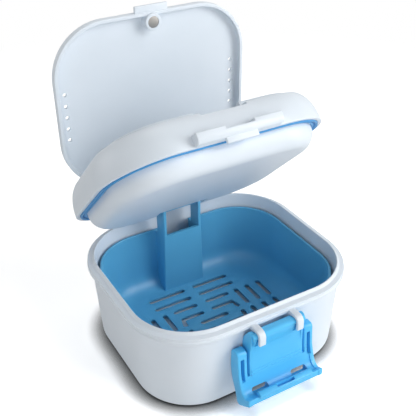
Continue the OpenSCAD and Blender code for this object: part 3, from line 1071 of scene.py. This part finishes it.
    def build(self, finishes: Finishes) -> None:
        """Builds and dresses the basket.

        Args:
            finishes: the finishes to choose from.
        """
        piece = self.bowl()
        self.cut_slots(piece)
        inner, back = self.handle_half - self.handle_wall, self.lines.core[1] + self.rim_r
        combine(piece, Joining.CUT, block("opening", (-inner, self.handle_back - 1, self.bend_z + 1),
                                          (inner, back + PAST, self.top + PAST)))
        round_edges(piece, 0.18, 60, 2)
        combine(piece, Joining.ADD, self.handle())
        for sx, sy in CORNERS:
            spot = (sx * self.lines.core[0], sy * self.lines.core[1], self.low - 0.4)
            combine(piece, Joining.ADD, rod("foot", spot, self.foot_r, self.foot_h, Axis.Z, 0.3))
        place_piece(piece, "basket", finishes.basket, "strainer_basket", "base")


@dataclass
class Lid:
    """Domed lid with its striker, notch and hinge barrels, the tray under it and the seal."""

    lines: CaseLines
    rise: float = 15.2
    inward: float = 9.8
    power: float = 2.28
    wall: float = 1.8
    edge_r: float = 0.35
    ledge_z: float = 13.2
    crest_in: float = 8.6
    crest_w: float = 2.7
    crest_r: float = 0.75
    basin_lean: float = 2.4
    plug_depth: float = 8.0
    plug_in: float = 4.9
    plug_r: float = 7.2
    tray_wall: float = 1.5
    seat_in: float = 2.7
    seat_z: Point = (2.7, 3.3)
    striker_half: float = 18.2
    striker_top: float = 4.6
    striker_low: float = 3.2
    striker_low_half: float = 6.1
    striker_front: float = -47.7
    striker_r: Point = (2.2, 0.7)
    tab_half: float = 6.8
    tab_y: Point = (2.5, 1.2)
    tab_z: Point = (-2.0, 1.5)
    notch_half: float = 10.0
    notch_z: float = 11.9
    notch_back: float = 4.2
    boss_y: float = -33.09
    disc_r: float = 2.8
    disc_deep: float = 1.4
    shelf_z: float = 11.3
    shelf_half: float = 29.0
    barrel_r: float = 2.7
    barrel_half: float = 11.5
    barrel_y: float = 46.93
    bore_r: float = 1.26
    cover_axis: Point = (36.85, 13.0)
    cover_lug_r: float = 2.2
    cover_lug_span: Point = (10.2, 15.5)
    cover_pin_r: float = 0.8
    cover_room_r: float = 2.5
    pocket_half: float = 12.0
    pocket_y: Point = (25.157, 36.957)
    pocket_top: float = 8.6

    @property
    def skirt_y(self) -> float:
        """Half depth of the lid's edge."""
        return self.lines.core[1] + self.lines.lid_r

    def curve(self, rise: float, inward: float, start_r: float, up_to: float, steps: int) -> Path:
        """Points of the dome's curve from its edge to a height.

        Args:
            rise: height at which the whole curve would end.
            inward: how far it would come in there.
            start_r: distance of its edge from the corner centres.
            up_to: height of the last point.
            steps: number of straight stretches.

        Returns:
            Distances from the corner centres and heights.
        """
        last = math.asin((up_to / rise) ** (self.power / 2))
        path = []
        for i in range(steps + 1):
            t = last * i / steps
            path.append((start_r - inward * (1 - math.cos(t) ** (2 / self.power)),
                         rise * math.sin(t) ** (2 / self.power)))
        return path

    def dome(self) -> bpy.types.Object:
        """Builds the skin of the dome, its ledge, its raised crest and the wall of the tray.

        Returns:
            The dome, open in the middle.
        """
        r, edge, low, high = self.lines.lid_r, self.edge_r, self.edge_r, 0.6
        piece = outline_plate("dome", self.lines.core, r, low, high)
        crest, crest_r, ledge = r - self.crest_in, self.crest_r, self.ledge_z
        basin, tray_z, wall = crest - self.crest_w, self.tray_wall - self.plug_depth, self.wall
        outer = self.curve(self.rise, self.inward, r, ledge - 0.25, 26)
        over = [(r, high)] + [p for p in outer if p[1] > high + 0.05]
        over += [(over[-1][0] - edge, ledge), (crest + 0.3, ledge), (crest, ledge + 0.3)]
        over += arc(crest - crest_r, self.rise - crest_r, crest_r, 0, 90, 6)
        over += arc(basin + crest_r, self.rise - crest_r, crest_r, 90, 180, 6)
        over += [(basin - self.basin_lean, tray_z)]
        inner = self.curve(self.rise - wall, self.inward - wall / 2, r - wall, ledge - wall, 10)
        under = [(r, low)] + arc(r - edge, low, edge, 0, -90, 4)[1:]
        under += arc(r - wall + edge, low, edge, -90, -180, 4) + [p for p in inner if p[1] > high]
        under += [(basin + self.tray_wall, ledge - wall), (basin - self.basin_lean + self.tray_wall, tray_z)]
        follow_path(piece, Side.TOP, falling(over), remove_last=True)
        follow_path(piece, Side.UNDER, falling(under), remove_last=True)
        close_ring(piece)
        return piece

    def striker(self) -> bpy.types.Object:
        """Builds the striker on the front of the lid, a bar with a low middle.

        Returns:
            The striker.
        """
        y, top, (low_r, top_r) = self.striker_front, self.striker_top, self.striker_r
        half, low_half = self.striker_half, self.striker_low_half
        back = -self.skirt_y + 2.2
        outline = [(-self.skirt_y + 1.2, 0.12)] + arc(y + low_r, low_r + 0.12, low_r, 270, 180, 10)
        outline += arc(y + top_r, top - top_r, top_r, 180, 90, 6) + [(back, top)]
        piece = side_plate("striker", outline, -half, half)
        low_middle = block("low_middle", (-low_half, y - PAST, self.striker_low),
                           (low_half, back + PAST, top + PAST))
        combine(piece, Joining.CUT, low_middle)
        round_edges(piece, 0.35, CRISP)
        return piece

    def rooms(self) -> list[bpy.types.Object]:
        """Makes what is cut out of the dome: the notch, the step at the back and the pocket's room.

        Returns:
            The cutters.
        """
        back, wall, shelf, high = self.skirt_y, self.tray_wall, self.shelf_half, self.rise + PAST
        room_half, room_front = self.pocket_half + wall + 0.1, self.pocket_y[0] - wall - 0.1
        return [
            block("notch", (-self.notch_half, -back - PAST, self.notch_z),
                  (self.notch_half, self.boss_y + self.notch_back, high), 0.6),
            block("step", (-shelf, back - self.crest_in + 0.3, self.shelf_z),
                  (shelf, back + PAST, high), 0.6),
            block("room", (-room_half, room_front, -self.plug_depth - PAST),
                  (room_half, back - self.plug_in + 0.1, self.pocket_top + wall - 0.2)),
        ]

    def fittings(self) -> list[bpy.types.Object]:
        """Makes what is moulded on the dome.

        Returns:
            The pad, shelf, striker, finger tab, hinge barrel and the two lugs of the cover.
        """
        back, boss, y, z = self.skirt_y, self.boss_y, *self.cover_axis
        barrel = arc(self.barrel_y, 0.0, self.barrel_r, -90, 100, 18)
        barrel += [(back - 1.1, 4.3), (back - 1.1, 0.17), (self.barrel_y - 1, 0.17)]
        parts = [
            block("pad", (-self.notch_half, boss - 3.6, self.notch_z - 2),
                  (self.notch_half, boss + self.notch_back, self.notch_z), 0.3),
            block("shelf", (-self.shelf_half, back - self.crest_in - 0.2, self.shelf_z - 1.2),
                  (self.shelf_half, back - 3.2, self.shelf_z), 0.2),
            self.striker(),
            block("tab", (-self.tab_half, -back - self.tab_y[0], self.tab_z[0]),
                  (self.tab_half, -back - self.tab_y[1], self.tab_z[1]), 0.45),
            side_plate("barrel", barrel, -self.barrel_half, self.barrel_half),
        ]
        lug_z, (near, far) = self.shelf_z - 0.4, self.cover_lug_span
        for side in SIDES:
            lug = arc(y, z, self.cover_lug_r, 180, 0, 16) + [(y + 1.9, lug_z), (y - 1.9, lug_z)]
            parts.append(side_plate("lug", lug, side * near, side * far, 0.25))
        return parts

    def build_shell(self, finishes: Finishes) -> None:
        """Builds the lid's shell with all that is moulded on it.

        Args:
            finishes: the finishes to choose from.
        """
        piece = self.dome()
        combine(piece, Joining.CUT, *self.rooms())
        combine(piece, Joining.ADD, *self.fittings())
        axis, (lug_near, lug_far) = (0, *self.cover_axis), self.cover_lug_span
        combine(piece, Joining.CUT,
                rod("pin_hole", axis, self.cover_pin_r, 2 * (lug_far + PAST), Axis.X),
                rod("pin_hole", (0, self.barrel_y, 0), self.bore_r, 2 * (self.barrel_half + PAST), Axis.X),
                rod("disc_seat", (0, self.boss_y, self.notch_z), self.disc_r, 2 * self.disc_deep, Axis.Z),
                rod("barrel_room", axis, self.cover_room_r, 2 * lug_near, Axis.X))
        self.open_up(piece)
        place_piece(piece, "lid_dome", finishes.shell, "lid_shell", "lid")

    def build_tray(self, finishes: Finishes) -> None:
        """Builds the tray moulding, whose outside is the plug that dips into the cup.

        Args:
            finishes: the finishes to choose from.
        """
        r, seat, (low, high) = self.lines.lid_r - self.plug_in, self.lines.lid_r - self.seat_in, self.seat_z
        depth, fillet, wall = self.plug_depth, self.plug_r, self.tray_wall
        piece = outline_plate("tray", self.lines.core, seat, low, high)
        under = [(seat, low), (seat - 0.25, low - 0.3), (r, low - 0.3)]
        under += arc(r - fillet, fillet - depth, fillet, 0, -90, 16)
        over = [(seat, high), (seat - 0.25, high + 0.3), (r - wall, high + 0.3)]
        over += arc(r - fillet, fillet - depth, fillet - wall, 0, -90, 12)
        follow_path(piece, Side.UNDER, falling(under))
        follow_path(piece, Side.TOP, falling(over))
        combine(piece, Joining.ADD, self.pocket_box())
        half, (front, back) = self.pocket_half, self.pocket_y
        pocket = block("pocket", (-half, front, -depth - PAST), (half, back, self.pocket_top), 0.5)
        combine(piece, Joining.CUT, pocket)
        self.open_up(piece)
        place_piece(piece, "tray_plug", finishes.shell, "lid_tray", "lid")

    def pocket_box(self) -> bpy.types.Object:
        """Builds the box round the pocket that takes the basket's handle, trimmed to the plug.

        Returns:
            The box.
        """
        depth, fillet, wall = self.plug_depth, self.plug_r, self.tray_wall
        half, wall_y = self.pocket_half + wall, self.skirt_y - self.plug_in
        box = block("pocket_box", (-half, self.pocket_y[0] - wall, wall - depth - 0.2),
                    (half, wall_y - wall / 2, self.pocket_top + 1.1), 0.5)
        low, back, mid = -depth - 1, wall_y + PAST, wall_y - fillet
        outline = [(back, low), (back, 0.5), (wall_y, 0.5)]
        outline += arc(mid, fillet - depth, fillet, 0, -60, 10) + [(mid, low)]
        combine(box, Joining.CUT, side_plate("trim", outline, -half - PAST, half + PAST))
        return box

    def build_seal(self, finishes: Finishes) -> None:
        """Builds the seal, a ring with two lips and a groove between them.

        Args:
            finishes: the finishes to choose from.
        """
        skin = self.lines.lid_r - self.wall - 0.1
        wall = self.lines.lid_r - self.plug_in
        low, high, top = -0.45, 1.2, 2.3
        piece = outline_plate("seal", self.lines.core, skin, low, high)
        under = [(skin, low), (skin - 0.15, -0.5), (skin - 0.4, -0.38)]
        lips = ((2.1, -0.2), (1.9, 0.5), (1.7, 0.6), (1.4, 0.5), (1.25, -0.15), (0.9, -0.2), (0.4, -0.1),
                (0.02, 0.5))
        under += [(wall + out, z) for out, z in lips]
        over = [(skin, high), (skin - 0.5, top), (wall + 0.02, top)]
        follow_path(piece, Side.UNDER, under, remove_last=True)
        follow_path(piece, Side.TOP, over, remove_last=True)
        close_ring(piece)
        self.open_up(piece)
        place_piece(piece, "seal", finishes.seal, "lid_gasket", "lid")

    def open_up(self, piece: bpy.types.Object) -> None:
        """Moves a piece that is drawn about the lid's middle to where the open lid stands.

        Args:
            piece: the piece.
        """
        with editing(piece):
            bpy.ops.transform.translate(value=(0, self.lines.lid_back * MM, self.lines.lid_z * MM))
        turn(piece, self.lines.hinge, self.lines.lid_angle)


@dataclass
class Cover:
    """Thin cover with its rim, vents, magnet boss and finger tab."""

    lines: CaseLines
    lid: Lid
    seat: float = 13.5
    deep: float = 3.2
    plate: float = 1.4
    rim: float = 1.55
    edge_r: float = 2.2
    dish_r: float = 1.8
    radius: float = 23.2
    core: Point = (21.4, 13.95)
    vent_d: float = 1.8
    vent_pitch: float = 5.14
    vent_mid: float = 2.3
    vent_in: float = 4.8
    tab_half: float = 7.5
    tab_reach: float = 2.8
    tab_t: float = 1.5
    boss_r: float = 3.6
    boss_drop: float = 1.2
    magnet_r: float = 2.45
    magnet_deep: float = 2.0
    magnet_t: float = 1.9
    magnet_room: float = 0.03
    barrel_half: float = 9.9
    barrel_r: float = 2.2
    bore_r: float = 0.86
    lug_room: float = 0.3

    @property
    def front(self) -> float:
        """Where the front edge lies."""
        return -(self.core[1] + self.radius)

    @property
    def top(self) -> float:
        """Height of the shut cover's upper side."""
        return self.seat + self.deep + self.plate

    def shell(self) -> bpy.types.Object:
        """Builds the dished plate with its rim.

        Returns:
            The plate.
        """
        r, inner, edge, dish = self.radius, self.radius - self.rim, self.edge_r, self.dish_r
        low, high = self.seat + 0.3, self.top - edge
        piece = outline_plate("cover", self.core, r, low, high)
        over = [(r, high)] + arc(r - edge, high, edge, 0, 90, 12)[1:]
        under = [(r, low)] + arc(r - 0.3, low, 0.3, 0, -90, 4)[1:]
        under += arc(inner + 0.25, self.seat + 0.25, 0.25, -90, -180, 4)
        under += arc(inner - dish, self.seat + self.deep - dish, dish, 0, 90, 10)
        follow_path(piece, Side.TOP, falling(over))
        follow_path(piece, Side.UNDER, falling(under))
        return piece

    def clear_lugs(self, piece: bpy.types.Object) -> None:
        """Cuts room for the lid's two lugs into the rim at the back.

        Args:
            piece: the cover.
        """
        lug_end, back = self.lid.cover_lug_span[1], -self.front
        mid = (self.barrel_half + lug_end + self.lug_room) / 2
        half = (lug_end - self.barrel_half) / 2 + self.lug_room
        for side in SIDES:
            room = block("lug_room", (side * mid - half, back - self.rim - 1.2, self.seat - PAST),
                         (side * mid + half, back + PAST, self.lid.cover_axis[1] + 2.5))
            combine(piece, Joining.CUT, room)

    def fittings(self) -> list[bpy.types.Object]:
        """Makes what is moulded on the cover.

        Returns:
            The hinge barrel, the magnet's boss and the finger tab.
        """
        y, z = self.lid.cover_axis
        barrel = arc(y, z, self.barrel_r, 123, 352, 22) + [(y + 0.3, z + 3.0), (y - 1.2, z + 3.0)]
        low, high = self.seat - self.boss_drop, self.top - 0.4
        tab_low, half = self.seat + 0.4, self.tab_half
        return [
            side_plate("barrel", barrel, -self.barrel_half, self.barrel_half),
            rod("boss", (0, self.lid.boss_y, (low + high) / 2), self.boss_r, high - low, Axis.Z, 0.3),
            block("tab", (-half, self.front - self.tab_reach, tab_low),
                  (half, self.front + self.rim, tab_low + self.tab_t), 0.45),
        ]

    def build(self, finishes: Finishes) -> None:
        """Builds and dresses the cover and its magnet.

        Args:
            finishes: the finishes to choose from.
        """
        piece = self.shell()
        self.clear_lugs(piece)
        combine(piece, Joining.ADD, *self.fittings())
        boss_y, boss_low, deep = self.lid.boss_y, self.seat - self.boss_drop, self.magnet_deep
        combine(piece, Joining.CUT,
                rod("magnet_seat", (0, boss_y, boss_low + (deep - PAST) / 2), self.magnet_r, deep + PAST,
                    Axis.Z),
                rod("pin_hole", (0, *self.lid.cover_axis), self.bore_r, 2 * (self.barrel_half + PAST),
                    Axis.X))
        vent_x, vent_z = self.core[0] + self.radius - self.vent_in, self.top - self.plate / 2
        for side in SIDES:
            for i in range(-2, 3):
                spot = (side * vent_x, self.vent_mid + i * self.vent_pitch, vent_z)
                vent = rod("vent", spot, self.vent_d / 2, self.plate + 2 * PAST, Axis.Z, flats=28)
                combine(piece, Joining.CUT, vent)
        self.open_up(piece)
        place_piece(piece, "vented_lid_cover", finishes.shell, "vented_cover", "cover")
        magnet = rod("magnet_disc", (0, boss_y, boss_low + deep - self.magnet_t / 2),
                     self.magnet_r - self.magnet_room, self.magnet_t, Axis.Z, 0.25)
        self.open_up(magnet)
        place_piece(magnet, "magnet_disc", finishes.magnet, "cover_magnet", "cover")

    def open_up(self, piece: bpy.types.Object) -> None:
        """Turns a piece of the shut cover to its open angle, and then with the lid.

        Args:
            piece: the piece.
        """
        turn(piece, self.lid.cover_axis, self.lines.cover_angle)
        self.lid.open_up(piece)


@dataclass
class Latch:
    """Sky blue snap latch in one moulding: bar, plate, two arms and a curled ledge.

    Its side views are drawn about the point where it hangs, with +Y into the case.
    """

    lines: CaseLines
    hang: Point = (-46.6, 34.8)
    half: float = 17.7
    plate_half: float = 12.5
    arm_in: float = 13.5
    arm_t: float = 1.9
    rib_t: float = 1.1
    pocket_half: float = 0.8
    window_x: float = 9.25
    window_half: float = 3.75
    slot_half: float = 4.15
    bar_r: float = 1.4
    hook_room: float = 1.8
    swing_r: float = 5.0

    def part(self, name: str, outline: Path, near: float, far: float, edge: float = 0.0) -> bpy.types.Object:
        """Builds one stretch of the moulding from its side view, with the edges of its far end rounded.

        Args:
            name: name of the stretch.
            outline: side view about the point where the moulding hangs.
            near: where it starts; this end is hidden in its neighbour.
            far: where it ends.
            edge: rounding at the far end.

        Returns:
            The stretch.
        """
        y0, z0 = self.hang
        piece = side_plate(name, [(y + y0, z + z0) for y, z in outline], near, far)
        if edge:
            sign = 1 if far > near else -1
            with editing(piece):
                pick_faces(piece, lambda f: f.normal.x * sign > FACING)
                bpy.ops.mesh.bevel(offset=edge * MM, segments=EDGE_STEPS, affect="EDGES")
        return piece

    def block_at(self, name: str, x: float, half: float, low: Point, high: Point,
                 edge: float) -> bpy.types.Object:
        """Adds a block drawn about where the moulding hangs.

        Args:
            name: name of the new piece.
            x: its middle along X.
            half: half its width.
            low: lower corner of its side view.
            high: upper corner of its side view.
            edge: rounding of its edges.

        Returns:
            The new piece.
        """
        y0, z0 = self.hang
        return block(name, (x - half, low[0] + y0, low[1] + z0), (x + half, high[0] + y0, high[1] + z0), edge)

    @staticmethod
    def plate_outline(front: Path, shy: float) -> Path:
        """Side view of the plate.

        Args:
            front: its front, from the top down.
            shy: how much its back keeps from the full depth where another stretch covers it.

        Returns:
            The outline.
        """
        deep = 5 - shy
        rear = bend((3.6 - shy, -21.2 + shy), (deep - 0.1, -17.6), (deep, -14), 5) + [(deep, -8)]
        rear += bend((deep, -5.4), (4.4 - shy, -1.6), (2.6 - shy, 0), 6)
        return front + rear + arc(0.8, 0, 1.6 - shy, 8, 90, 6)

    @staticmethod
    def arm_outline() -> Path:
        """Side view of an arm, from its round shoulder down to its foot and nose.

        Returns:
            The outline.
        """
        top = arc(1.6, -8, 1.7, 180, 90, 8) + arc(2.9, -8.3, 2, 90, 0, 8)
        rear = bend((5, -13), (5, -18.4), (3.4, -22), 8) + bend((3.3, -22.2), (1.3, -26.2), (0.5, -29.2), 6)
        foot = arc(-1.35, -29.3, 1.9, -10, -115, 9) + [(-4.2, -29.7)]
        nose = arc(-7.9, -26.3, 0.6, -120, -180, 3) + arc(-8.0, -24.2, 0.5, 180, 70, 4)
        front = bend((-5.6, -24.8), (-2.9, -24.1), (-1.9, -20.3), 8) + [(-0.75, -16), (-0.3, -11)]
        return top + rear + foot + nose + front

    @staticmethod
    def short_arm_outline() -> Path:
        """Side view of the arm's inner layer, which is a little smaller and stops at the crease.

        Returns:
            The outline.
        """
        top = arc(1.6, -8, 1.67, 180, 90, 8) + arc(2.9, -8.3, 1.97, 90, 0, 8)
        return top + [(4.97, -14), (4.0, -20.2), (-1.5, -20.2), (-0.67, -16), (-0.27, -11)]

    @staticmethod
    def ledge_outline() -> Path:
        """Side view of the ledge with its trough and curled front edge.

        Returns:
            The outline.
        """
        path = [(-1.2, -18.6)] + bend((-1.6, -20.3), (-2.5, -25.4), (-6.2, -24.9), 9)
        path += arc(-7.9, -24.25, 0.45, 70, 180, 4) + arc(-7.8, -26.25, 0.55, 180, 240, 3)
        return path + [(-3.6, -27.4), (-1.4, -25.4), (0.6, -21.6), (3.1, -19.5)]

    def moulding(self) -> bpy.types.Object:
        """Joins plate, cheeks, arms, ledge and lip.

        Returns:
            The moulding without its slots and its bar.
        """
        roll = [(-0.7, 1.6), (-1.7, 1.3), (-2.0, 0.7)] + bend((-2.1, 0), (-1.6, -3), (-0.1, -6.4), 8)
        ribbed_foot = [(-0.55, -12), (-0.98, -16.3), (-1.3, -16.45), (-1.4, -17.15), (-1.1, -17.3),
                       (-1.15, -17.9), (-1.45, -18.05), (-1.55, -18.7), (-1.4, -18.85), (-1.6, -20.3)]
        cheek = [(-0.2, 1.45), (-0.9, 0.9), (-0.95, -5.2), (-0.5, -6.4), (-0.52, -12), (-1.17, -18.6),
                 (-1.56, -20.26)]
        lip = [(-5.7, -25.6), (-5.8, -23.1), (-6.7, -22.2), (-7.3, -22.2), (-8.8, -23), (-8.8, -23.6),
               (-8.4, -24.8), (-7.2, -25.6)]
        side, half = self.plate_half, self.half
        piece = self.part("plate", self.plate_outline(roll + ribbed_foot, 0.04), -side + 0.8, side - 0.8)
        others = [self.part("ledge", self.ledge_outline(), -half + 1.2, half - 1.2)]
        layers = ((self.plate_outline(cheek, 0.0), side - self.rib_t, side, 0.25),
                  (self.arm_outline(), half - self.arm_t, half, 0.4),
                  (self.short_arm_outline(), half - 1.0, self.arm_in, 0.3))
        for sign in SIDES:
            for outline, near, far, edge in layers:
                others.append(self.part("rib", outline, sign * near, sign * far, edge))
        others.append(self.part("lip", lip, -side, side))
        round_edges(others[-1], 0.2, 40)
        combine(piece, Joining.ADD, *others)
        return piece

    def build(self, finishes: Finishes) -> None:
        """Builds and dresses the latch.

        Args:
            finishes: the finishes to choose from.
        """
        piece = self.moulding()
        arm_x, window_x = (self.arm_in + self.half) / 2, self.window_x
        hook_x, pivot = self.lines.hook_x, self.lines.latch_pivot
        cuts = [self.block_at("lip_slot", 0, self.slot_half, (-8.25, -24.3), (-6.9, -21.9), 0.15)]
        for sign in SIDES:
            cuts += [
                self.block_at("arm_pocket", sign * arm_x, self.pocket_half, (-3, -20.2), (3.4, -9.6), 0.3),
                self.block_at("window", sign * window_x, self.window_half, (-5.6, -26.2), (2, -23.4), 1.0),
                rod("swing_room", (sign * hook_x, *pivot), self.swing_r, 2 * self.hook_room, Axis.X),
            ]
        combine(piece, Joining.CUT, *cuts)
        bar = rod("bar", (0, *pivot), self.bar_r, 2 * self.plate_half - 1, Axis.X, 0.2)
        combine(piece, Joining.ADD, bar)
        place_piece(piece, "latch", finishes.latch, "front_latch", "latch")


# Studio


def direction(azimuth: float, elevation: float) -> Vector:
    """Unit vector from the case to a place in the studio.

    Args:
        azimuth: degrees from the front towards the right.
        elevation: degrees above the floor.

    Returns:
        The vector.
    """
    turned, lift = math.radians(azimuth), math.radians(elevation)
    return Vector((math.sin(turned) * math.cos(lift), -math.cos(turned) * math.cos(lift), math.sin(lift)))


@dataclass(frozen=True)
class Lamp:
    """Soft square lamp that points at the case, placed in degrees and metres."""

    name: str
    azimuth: float
    elevation: float
    watts: float
    side: float = 0.55
    distance: float = 1.1
    aim_z: float = 0.03

    def build(self) -> None:
        """Adds the lamp."""
        data = bpy.data.lights.new(self.name, "AREA")
        data.size = self.side
        data.energy = self.watts
        towards = direction(self.azimuth, self.elevation)
        lamp = bpy.data.objects.new(self.name, data)
        lamp.location = towards * self.distance + Vector((0, 0, self.aim_z))
        lamp.rotation_euler = towards.to_track_quat("Z", "Y").to_euler()
        bpy.context.scene.collection.objects.link(lamp)


@dataclass
class Studio:
    """Camera at the photograph's angle, pale floor and soft lamps."""

    azimuth: float = -30.056
    elevation: float = 32.086
    roll: float = -0.577
    distance: float = 356.337
    target: Spot = (24.4, 47.336, 30.0)
    focal_px: float = 718.4
    frame_px: float = 416.0
    sensor: float = 36.0
    floor_side: float = 4.0
    # Reach in millimetres and strength of the painted shade that darkens the floor round the case's foot
    painted_shade_reach: float = 8.0
    painted_shade_power: float = 2.6
    floor_gain: float = 1.86
    sweep_from: float = 220.0
    sweep_to: float = 420.0
    world_light: float = 0.27
    lamps: tuple[Lamp, ...] = (
        Lamp("key", 38, 38, 4.6),
        Lamp("low_right", 52, 12, 4.8),
        Lamp("low_left", -30, 12, 2.6),
        Lamp("overhead", 175, 66, 2.2),
        Lamp("rear_left", 230, 14, 1.4),
    )

    def camera(self) -> None:
        """Adds the camera."""
        towards = direction(self.azimuth, self.elevation)
        right = (-towards).cross(Vector((0, 0, 1))).normalized()
        tilt = math.radians(self.roll)
        right = right * math.cos(tilt) + right.cross(-towards) * math.sin(tilt)
        data = bpy.data.cameras.new("camera")
        data.sensor_width = self.sensor
        data.lens = self.focal_px / self.frame_px * self.sensor
        data.clip_start = 0.01
        data.clip_end = 20.0
        camera = bpy.data.objects.new("camera", data)
        bpy.context.scene.collection.objects.link(camera)
        pose = Matrix((right, right.cross(-towards), towards)).transposed().to_4x4()
        pose.translation = (Vector(self.target) + towards * self.distance) * MM
        camera.matrix_world = pose
        bpy.context.scene.camera = camera

    def floor(self) -> None:
        """Adds the pale floor, a paper sweep that shows white to the camera, keeps the lamps' shadow and has
        painted shade round the case's foot.
        """
        clear_selection()
        bpy.ops.mesh.primitive_grid_add(x_subdivisions=2, y_subdivisions=2, size=self.floor_side)
        floor = name_new("floor")
        material, place = blank_material("white_paper_sweep")
        tree = material.node_tree
        paper = add_node(tree, "ShaderNodeBsdfDiffuse", {"Color": srgb("#f2f2f2")})
        # The camera sees the sweep a little brighter, with painted shade from ambient occlusion darkening it in
        # the crease where the case stands
        crease = add_node(tree, "ShaderNodeAmbientOcclusion", {"Distance": self.painted_shade_reach * MM},
                          samples=12)
        depth = add_node(tree, "ShaderNodeMath", {1: self.painted_shade_power}, {0: crease.outputs["AO"]},
                         operation="POWER")
        paper_with_painted_shade = add_node(tree, "ShaderNodeMath", {1: self.floor_gain}, {0: depth.outputs[0]},
                          operation="MULTIPLY")
        seen = add_node(tree, "ShaderNodeBsdfDiffuse", None, {"Color": paper_with_painted_shade.outputs[0]})
        # Away from the case, past its shadow, the sweep goes over into the white background
        reach = add_node(tree, "ShaderNodeVectorMath", None, {"Vector": place}, operation="LENGTH")
        far = add_node(tree, "ShaderNodeMapRange",
                       {"From Min": self.sweep_from * MM, "From Max": self.sweep_to * MM},
                       {"Value": reach.outputs["Value"]}, interpolation_type="SMOOTHSTEP")
        white = add_node(tree, "ShaderNodeEmission", {"Color": (1, 1, 1, 1), "Strength": 1.0})
        sweep = add_node(tree, "ShaderNodeMixShader", None,
                         {"Fac": far.outputs["Result"], 1: seen.outputs[0], 2: white.outputs[0]})
        rays = add_node(tree, "ShaderNodeLightPath")
        pick = add_node(tree, "ShaderNodeMixShader", None,
                        {"Fac": rays.outputs["Is Camera Ray"], 1: paper.outputs[0], 2: sweep.outputs[0]})
        add_node(tree, "ShaderNodeOutputMaterial", None, {"Surface": pick.outputs[0]})
        dress(floor, material)

    def world(self) -> None:
        """Sets the world: soft light on the case, white to the camera and in reflections."""
        world = bpy.data.worlds.new("studio")
        bpy.context.scene.world = world
        world.use_nodes = True
        tree = world.node_tree
        tree.nodes.clear()
        rays = add_node(tree, "ShaderNodeLightPath")
        seen = rays.outputs["Is Camera Ray"]
        for ray in ("Is Transmission Ray", "Is Glossy Ray"):
            seen = add_node(tree, "ShaderNodeMath", None, {0: seen, 1: rays.outputs[ray]},
                            operation="MAXIMUM").outputs[0]
        strength = add_node(tree, "ShaderNodeMapRange", {"To Min": self.world_light, "To Max": 1.0},
                            {"Value": seen})
        back = add_node(tree, "ShaderNodeBackground", {"Color": (1, 1, 1, 1)},
                        {"Strength": strength.outputs[0]})
        add_node(tree, "ShaderNodeOutputWorld", None, {"Surface": back.outputs[0]})

    def build(self) -> None:
        """Sets up the whole studio."""
        self.camera()
        self.floor()
        self.world()
        for lamp in self.lamps:
            lamp.build()
        bpy.context.scene.view_settings.view_transform = "Standard"


def clear_start() -> None:
    """Takes away what Blender starts with, and keeps the frame."""
    kept = set(frame["nodes"].values()) | set(frame["bodies"].values())
    for thing in list(bpy.data.objects):
        if thing not in kept:
            bpy.data.objects.remove(thing)


def main() -> None:
    """Builds the case piece by piece and sets up the studio."""
    logging.basicConfig(level=logging.INFO, format="%(name)s: %(message)s")
    clear_start()
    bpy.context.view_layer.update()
    finishes = Finishes()
    lines = CaseLines()
    Cup(lines).build(finishes)
    Basket(lines).build(finishes)
    lid = Lid(lines)
    lid.build_shell(finishes)
    lid.build_tray(finishes)
    lid.build_seal(finishes)
    Cover(lines, lid).build(finishes)
    Latch(lines).build(finishes)
    for node in ("lid_hinge_pin", "cover_hinge_pin", "catch_disc"):
        dress(frame["nodes"][node], finishes.pin)
        LOG.info("%s: solid of the frame", node)
    Studio().build()


if __name__ == "__main__":
    main()
